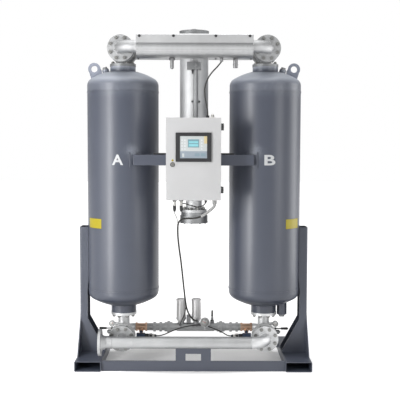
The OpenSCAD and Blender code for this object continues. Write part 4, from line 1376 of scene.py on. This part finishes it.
@dataclass
class Cables:
    """The cables between the cabinet, the header, the heater and the exhaust line."""

    top_z: float = 2416.34
    header_y: float = -322.3
    steps: int = 8
    sleeve_d: float = 0.0225
    sleeve_spans: int = 5
    sleeve_steps: int = 40
    rib_pitch: float = 0.0042
    rib_depth: float = 0.07

    def trunk(self) -> Route:
        """Gives the trunk cable's route, as the source has it.

        Returns:
            The route.
        """
        return Route(
            "trunk_cable", 0.013, CABLE_BLACK, Slot.CABLE_BLACK, Stiffness.MEDIUM, Lay.HANGING, (
                (155, -360, 1262), (153, -360, 1246), (140, -358, 1230), (114, -356, 1207),
                (85, -354, 1185), (55, -352, 1167), (22, -351, 1157), (-20, -351, 1153),
                (-62, -352, 1152), (-92, -353, 1143), (-110, -353, 1122), (-116, -350, 1090),
                (-116, -326, 1020), (-108, -300, 930), (-97, -264, 840), (-88, -224, 750),
                (-80, -184, 660), (-72, -140, 570), (-64, -96, 490), (-54, -52, 420),
                (-36, -4, 362), (-12, 48, 318), (12, 96, 290), (24, 132, 280),
            ),
        )

    def thin_leads(self) -> list[Route]:
        """Gives the routes of the other cables, as the source has them.

        Returns:
            The routes.
        """
        y, t = self.header_y, self.top_z
        return [
            Route(
                "branch_cable", 0.008, CABLE_BLACK, Slot.CABLE_BLACK, Stiffness.MEDIUM, Lay.HANGING, (
                    (-62, -66, 426), (-68, -40, 384), (-80, -2, 342), (-95, 44, 302),
                    (-106, 88, 272), (-111, 122, 255), (-112, 146, 244), (-112, 160, 238),
                ),
            ),
            Route(
                "arch_cable", 0.009, CABLE_BLACK, Slot.CABLE_BLACK, Stiffness.STIFF, Lay.LOOSE, (
                    (-300, 128, 158), (-272, 128, 160), (-240, 129, 168), (-196, 132, 187),
                    (-152, 135, 205), (-104, 139, 221), (-54, 142, 233), (-2, 144, 241),
                    (44, 144, 243), (94, 142, 237), (140, 138, 224), (188, 133, 206),
                    (232, 129, 186), (270, 128, 164), (300, 128, 158),
                ),
            ),
            Route(
                "header_cable", 0.010, CABLE_BLACK, Slot.CABLE_BLACK, Stiffness.MEDIUM, Lay.HANGING, (
                    (203, y, t - 112), (192, y - 1, t - 126), (168, -325, t - 154),
                    (136, -329, t - 188), (108, -333, t - 228), (89, -338, t - 272),
                    (80, -344, t - 316), (82, -350, t - 368), (92, -356, t - 424),
                    (101, -360, t - 470), (103, -360, 1910),
                ),
            ),
            Route(
                "plug_lead", 0.007, CONDUIT_GREY, Slot.CONDUIT_GREY, Stiffness.MEDIUM, Lay.HANGING, (
                    (-140, -360, 1204), (-138, -360, 1188), (-129, -357, 1168),
                    (-121, -354, 1146), (-116, -353, 1118),
                ),
            ),
            Route(
                "sensor_lead", 0.008, CABLE_BLACK, Slot.CABLE_BLACK, Stiffness.LIMP, Lay.HANGING, (
                    (-82, -352, 1266), (-62, -351, 1262), (-32, -349, 1253), (0, -346, 1243),
                    (28, -343, 1237), (56, -340, 1241), (78, -338, 1254), (90, -336, 1270),
                ),
            ),
        ]

    def trunk_sleeve(self, route: Route) -> bpy.types.Object:
        """Builds the ribbed grey sleeve on the trunk cable's upper end.

        Args:
            route: the trunk cable's route.

        Returns:
            The sleeve.
        """
        line = route.path(self.sleeve_steps)[: self.sleeve_steps * self.sleeve_spans]
        reaches, run = [], 0.0
        for i, point in enumerate(line):
            run += (point - line[i - 1]).length if i else 0.0
            groove = 0.5 + 0.5 * math.cos(FULL_TURN * run / self.rib_pitch)
            reaches.append(self.sleeve_d / 2 * (1.0 - self.rib_depth * groove))
        piece = Mesh("trunk_sleeve", [CONDUIT_GREY])
        piece.sweep(line, reaches)
        return piece.place(Body.DRYER, Slot.CONDUIT_GREY)

    def build(self) -> None:
        trunk = self.trunk()
        for route in (trunk, *self.thin_leads()):
            line = route.path(self.steps)
            piece = Mesh(f"{route.node}_sheath", [route.finish])
            piece.sweep(line, [route.diameter / 2] * len(line))
            sheath = piece.place(Body.DRYER, route.slot)
            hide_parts(route.node)
            sleeves = [self.trunk_sleeve(route)] if route is trunk else []


@dataclass(frozen=True)
class Lamp:
    """One soft lamp: where it stands, the point that it faces, its face in metres and its watts."""

    name: str
    at: Point
    toward: Point
    width: float
    height: float
    power: float

    def build(self) -> None:
        """Builds the lamp."""
        data = bpy.data.lights.new(self.name, "AREA")
        data.shape = "RECTANGLE"
        data.size = self.width
        data.size_y = self.height
        data.energy = self.power
        lamp = bpy.data.objects.new(self.name, data)
        bpy.context.scene.collection.objects.link(lamp)
        aim = (Vector(self.toward) - Vector(self.at)).to_track_quat("-Z", "Y")
        lamp.matrix_world = Matrix.Translation(self.at) @ aim.to_matrix().to_4x4()


@dataclass
class Studio:
    """Camera at the photograph's view, pale floor and soft lights."""

    eye: Point = (0.0477, -6.300, 1.7007)
    pitch: float = 0.069
    roll: float = 0.0025
    lens: float = 72.73
    sensor: float = 36.0
    view_end: float = 100.0
    diffuse_sky: float = 0.26
    mirrored_sky: float = 0.52
    floor_half: float = 30.0
    floor_grey: float = 0.69
    floor_tint: float = 0.01 / 0.69
    floor_cloud: Pair = (0.6, 2.0)
    floor_rough: float = 0.9
    shadow_half: Pair = (0.95, 0.44)
    painted_shadow_span: Pair = (0.84, 1.04)
    painted_shadow_glow: Pair = (0.17, 0.70)
    far_span: Pair = (2.0, 7.0)
    far_glow: Pair = (0.0, 0.40)
    lamps: tuple[Lamp, ...] = (
        Lamp("left_softbox", (-2.75, -2.05, 1.7), (-0.2, -0.6, 1.5), 2.3, 3.0, 40.0),
        Lamp("left_strip", (-2.26, -2.33, 1.5), (0.42, -0.24, 1.5), 0.35, 2.8, 56.0),
        Lamp("right_softbox", (3.3, 0.45, 1.6), (0.55, 0.0, 1.35), 1.4, 2.8, 40.0),
        Lamp("right_fill", (3.6, -3.4, 2.0), (0.2, 0.0, 1.4), 1.6, 3.0, 42.0),
        Lamp("front_fill", (-2.6, -5.0, 4.4), (0.0, 0.0, 1.3), 2.4, 2.0, 20.0),
        Lamp("overhead_softbox", (-0.3, -0.5, 4.1), (-0.3, -0.5, 0.0), 3.4, 2.6, 62.0),
    )

    def camera(self) -> None:
        """Builds the camera."""
        data = bpy.data.cameras.new("studio_camera")
        data.lens = self.lens
        data.sensor_width = self.sensor
        data.clip_end = self.view_end
        camera = bpy.data.objects.new("studio_camera", data)
        bpy.context.scene.collection.objects.link(camera)
        tilt = Matrix.Rotation(math.pi / 2 - self.pitch, 4, "X")
        camera.matrix_world = Matrix.Translation(self.eye) @ tilt @ Matrix.Rotation(self.roll, 4, "Z")
        bpy.context.scene.camera = camera

    def floor_finish(self) -> bpy.types.Material:
        """Makes the floor's white, which glows to the eye and in reflections; the glow is lower in an
        ellipse round the object, a painted shadow under it.

        Returns:
            The material.
        """
        desk = Desk("floor_white")
        cloud = desk.noise(*self.floor_cloud)
        desk.color_by(desk.varied(cloud, (self.floor_grey,) * 3, self.floor_tint))
        set_sockets(desk.shader, Roughness=self.floor_rough)
        path = desk.node("LightPath").outputs
        seen = desk.join(Join.LARGER, path["Is Camera Ray"], path["Is Glossy Ray"])
        away = desk.node("VectorMath")
        away.operation = "LENGTH"
        half_x, half_y = self.shadow_half
        desk.link(desk.stretched((1.0 / half_x, 1.0 / half_y, 0.0)), away.inputs[0])
        # painted shadow: the glow drops inside the ellipse round the object
        near = desk.ramp(away.outputs["Value"], self.painted_shadow_span, self.painted_shadow_glow, smooth=True)
        far = desk.ramp(away.outputs["Value"], self.far_span, self.far_glow, smooth=True)
        level = desk.join(Join.PRODUCT, seen, desk.join(Join.SUM, near, far))
        glow = desk.node("Emission", Color=WHITE)
        desk.link(level, glow.inputs["Strength"])
        both = desk.node("AddShader")
        desk.link(desk.shader.outputs["BSDF"], both.inputs[0])
        desk.link(glow.outputs["Emission"], both.inputs[1])
        desk.link(both.outputs["Shader"], desk.tree.nodes["Material Output"].inputs["Surface"])
        return desk.material

    def floor(self) -> None:
        """Builds the pale floor, which keeps the object's soft shadow and adds a painted shadow under
        it.
        """
        half = self.floor_half
        data = bpy.data.meshes.new("floor")
        corners = [(-half, -half, 0.0), (half, -half, 0.0), (half, half, 0.0), (-half, half, 0.0)]
        data.from_pydata(corners, [], [(0, 1, 2, 3)])
        data.materials.append(self.floor_finish())
        floor = bpy.data.objects.new("floor", data)
        bpy.context.scene.collection.objects.link(floor)

    def sky(self) -> None:
        """Sets the world: white to the eye, dimmer in reflections, a plain level on surfaces."""
        world = bpy.data.worlds.new("studio_world")
        bpy.context.scene.world = world
        world.use_nodes = True
        bench = Bench(world.node_tree)
        ground = bench.tree.nodes["Background"]
        set_sockets(ground, Color=WHITE)
        path = bench.node("LightPath").outputs
        seen = bench.join(Join.LARGER, path["Is Camera Ray"], path["Is Transmission Ray"])
        mirrored = bench.join(Join.PRODUCT, path["Is Glossy Ray"], self.mirrored_sky)
        level = bench.join(Join.LARGER, bench.join(Join.LARGER, seen, mirrored), self.diffuse_sky)
        bench.link(level, ground.inputs["Strength"])

    def build(self) -> None:
        """Builds the studio."""
        bpy.context.scene.view_settings.view_transform = "Standard"
        self.camera()
        self.floor()
        self.sky()
        for lamp in self.lamps:
            lamp.build()


def main() -> None:
    """Builds the studio and every sub-assembly in order."""
    logging.basicConfig(level=logging.INFO, format="%(name)s: %(message)s")
    for part in (
        Studio(), Cables(), Towers(), BaseFrame(), Pipework(),
        Heater(), ExhaustLine(), Display(), Cabinet(),
    ):
        LOG.info("building %s", type(part).__name__)
        part.build()


if __name__ == "__main__":
    main()
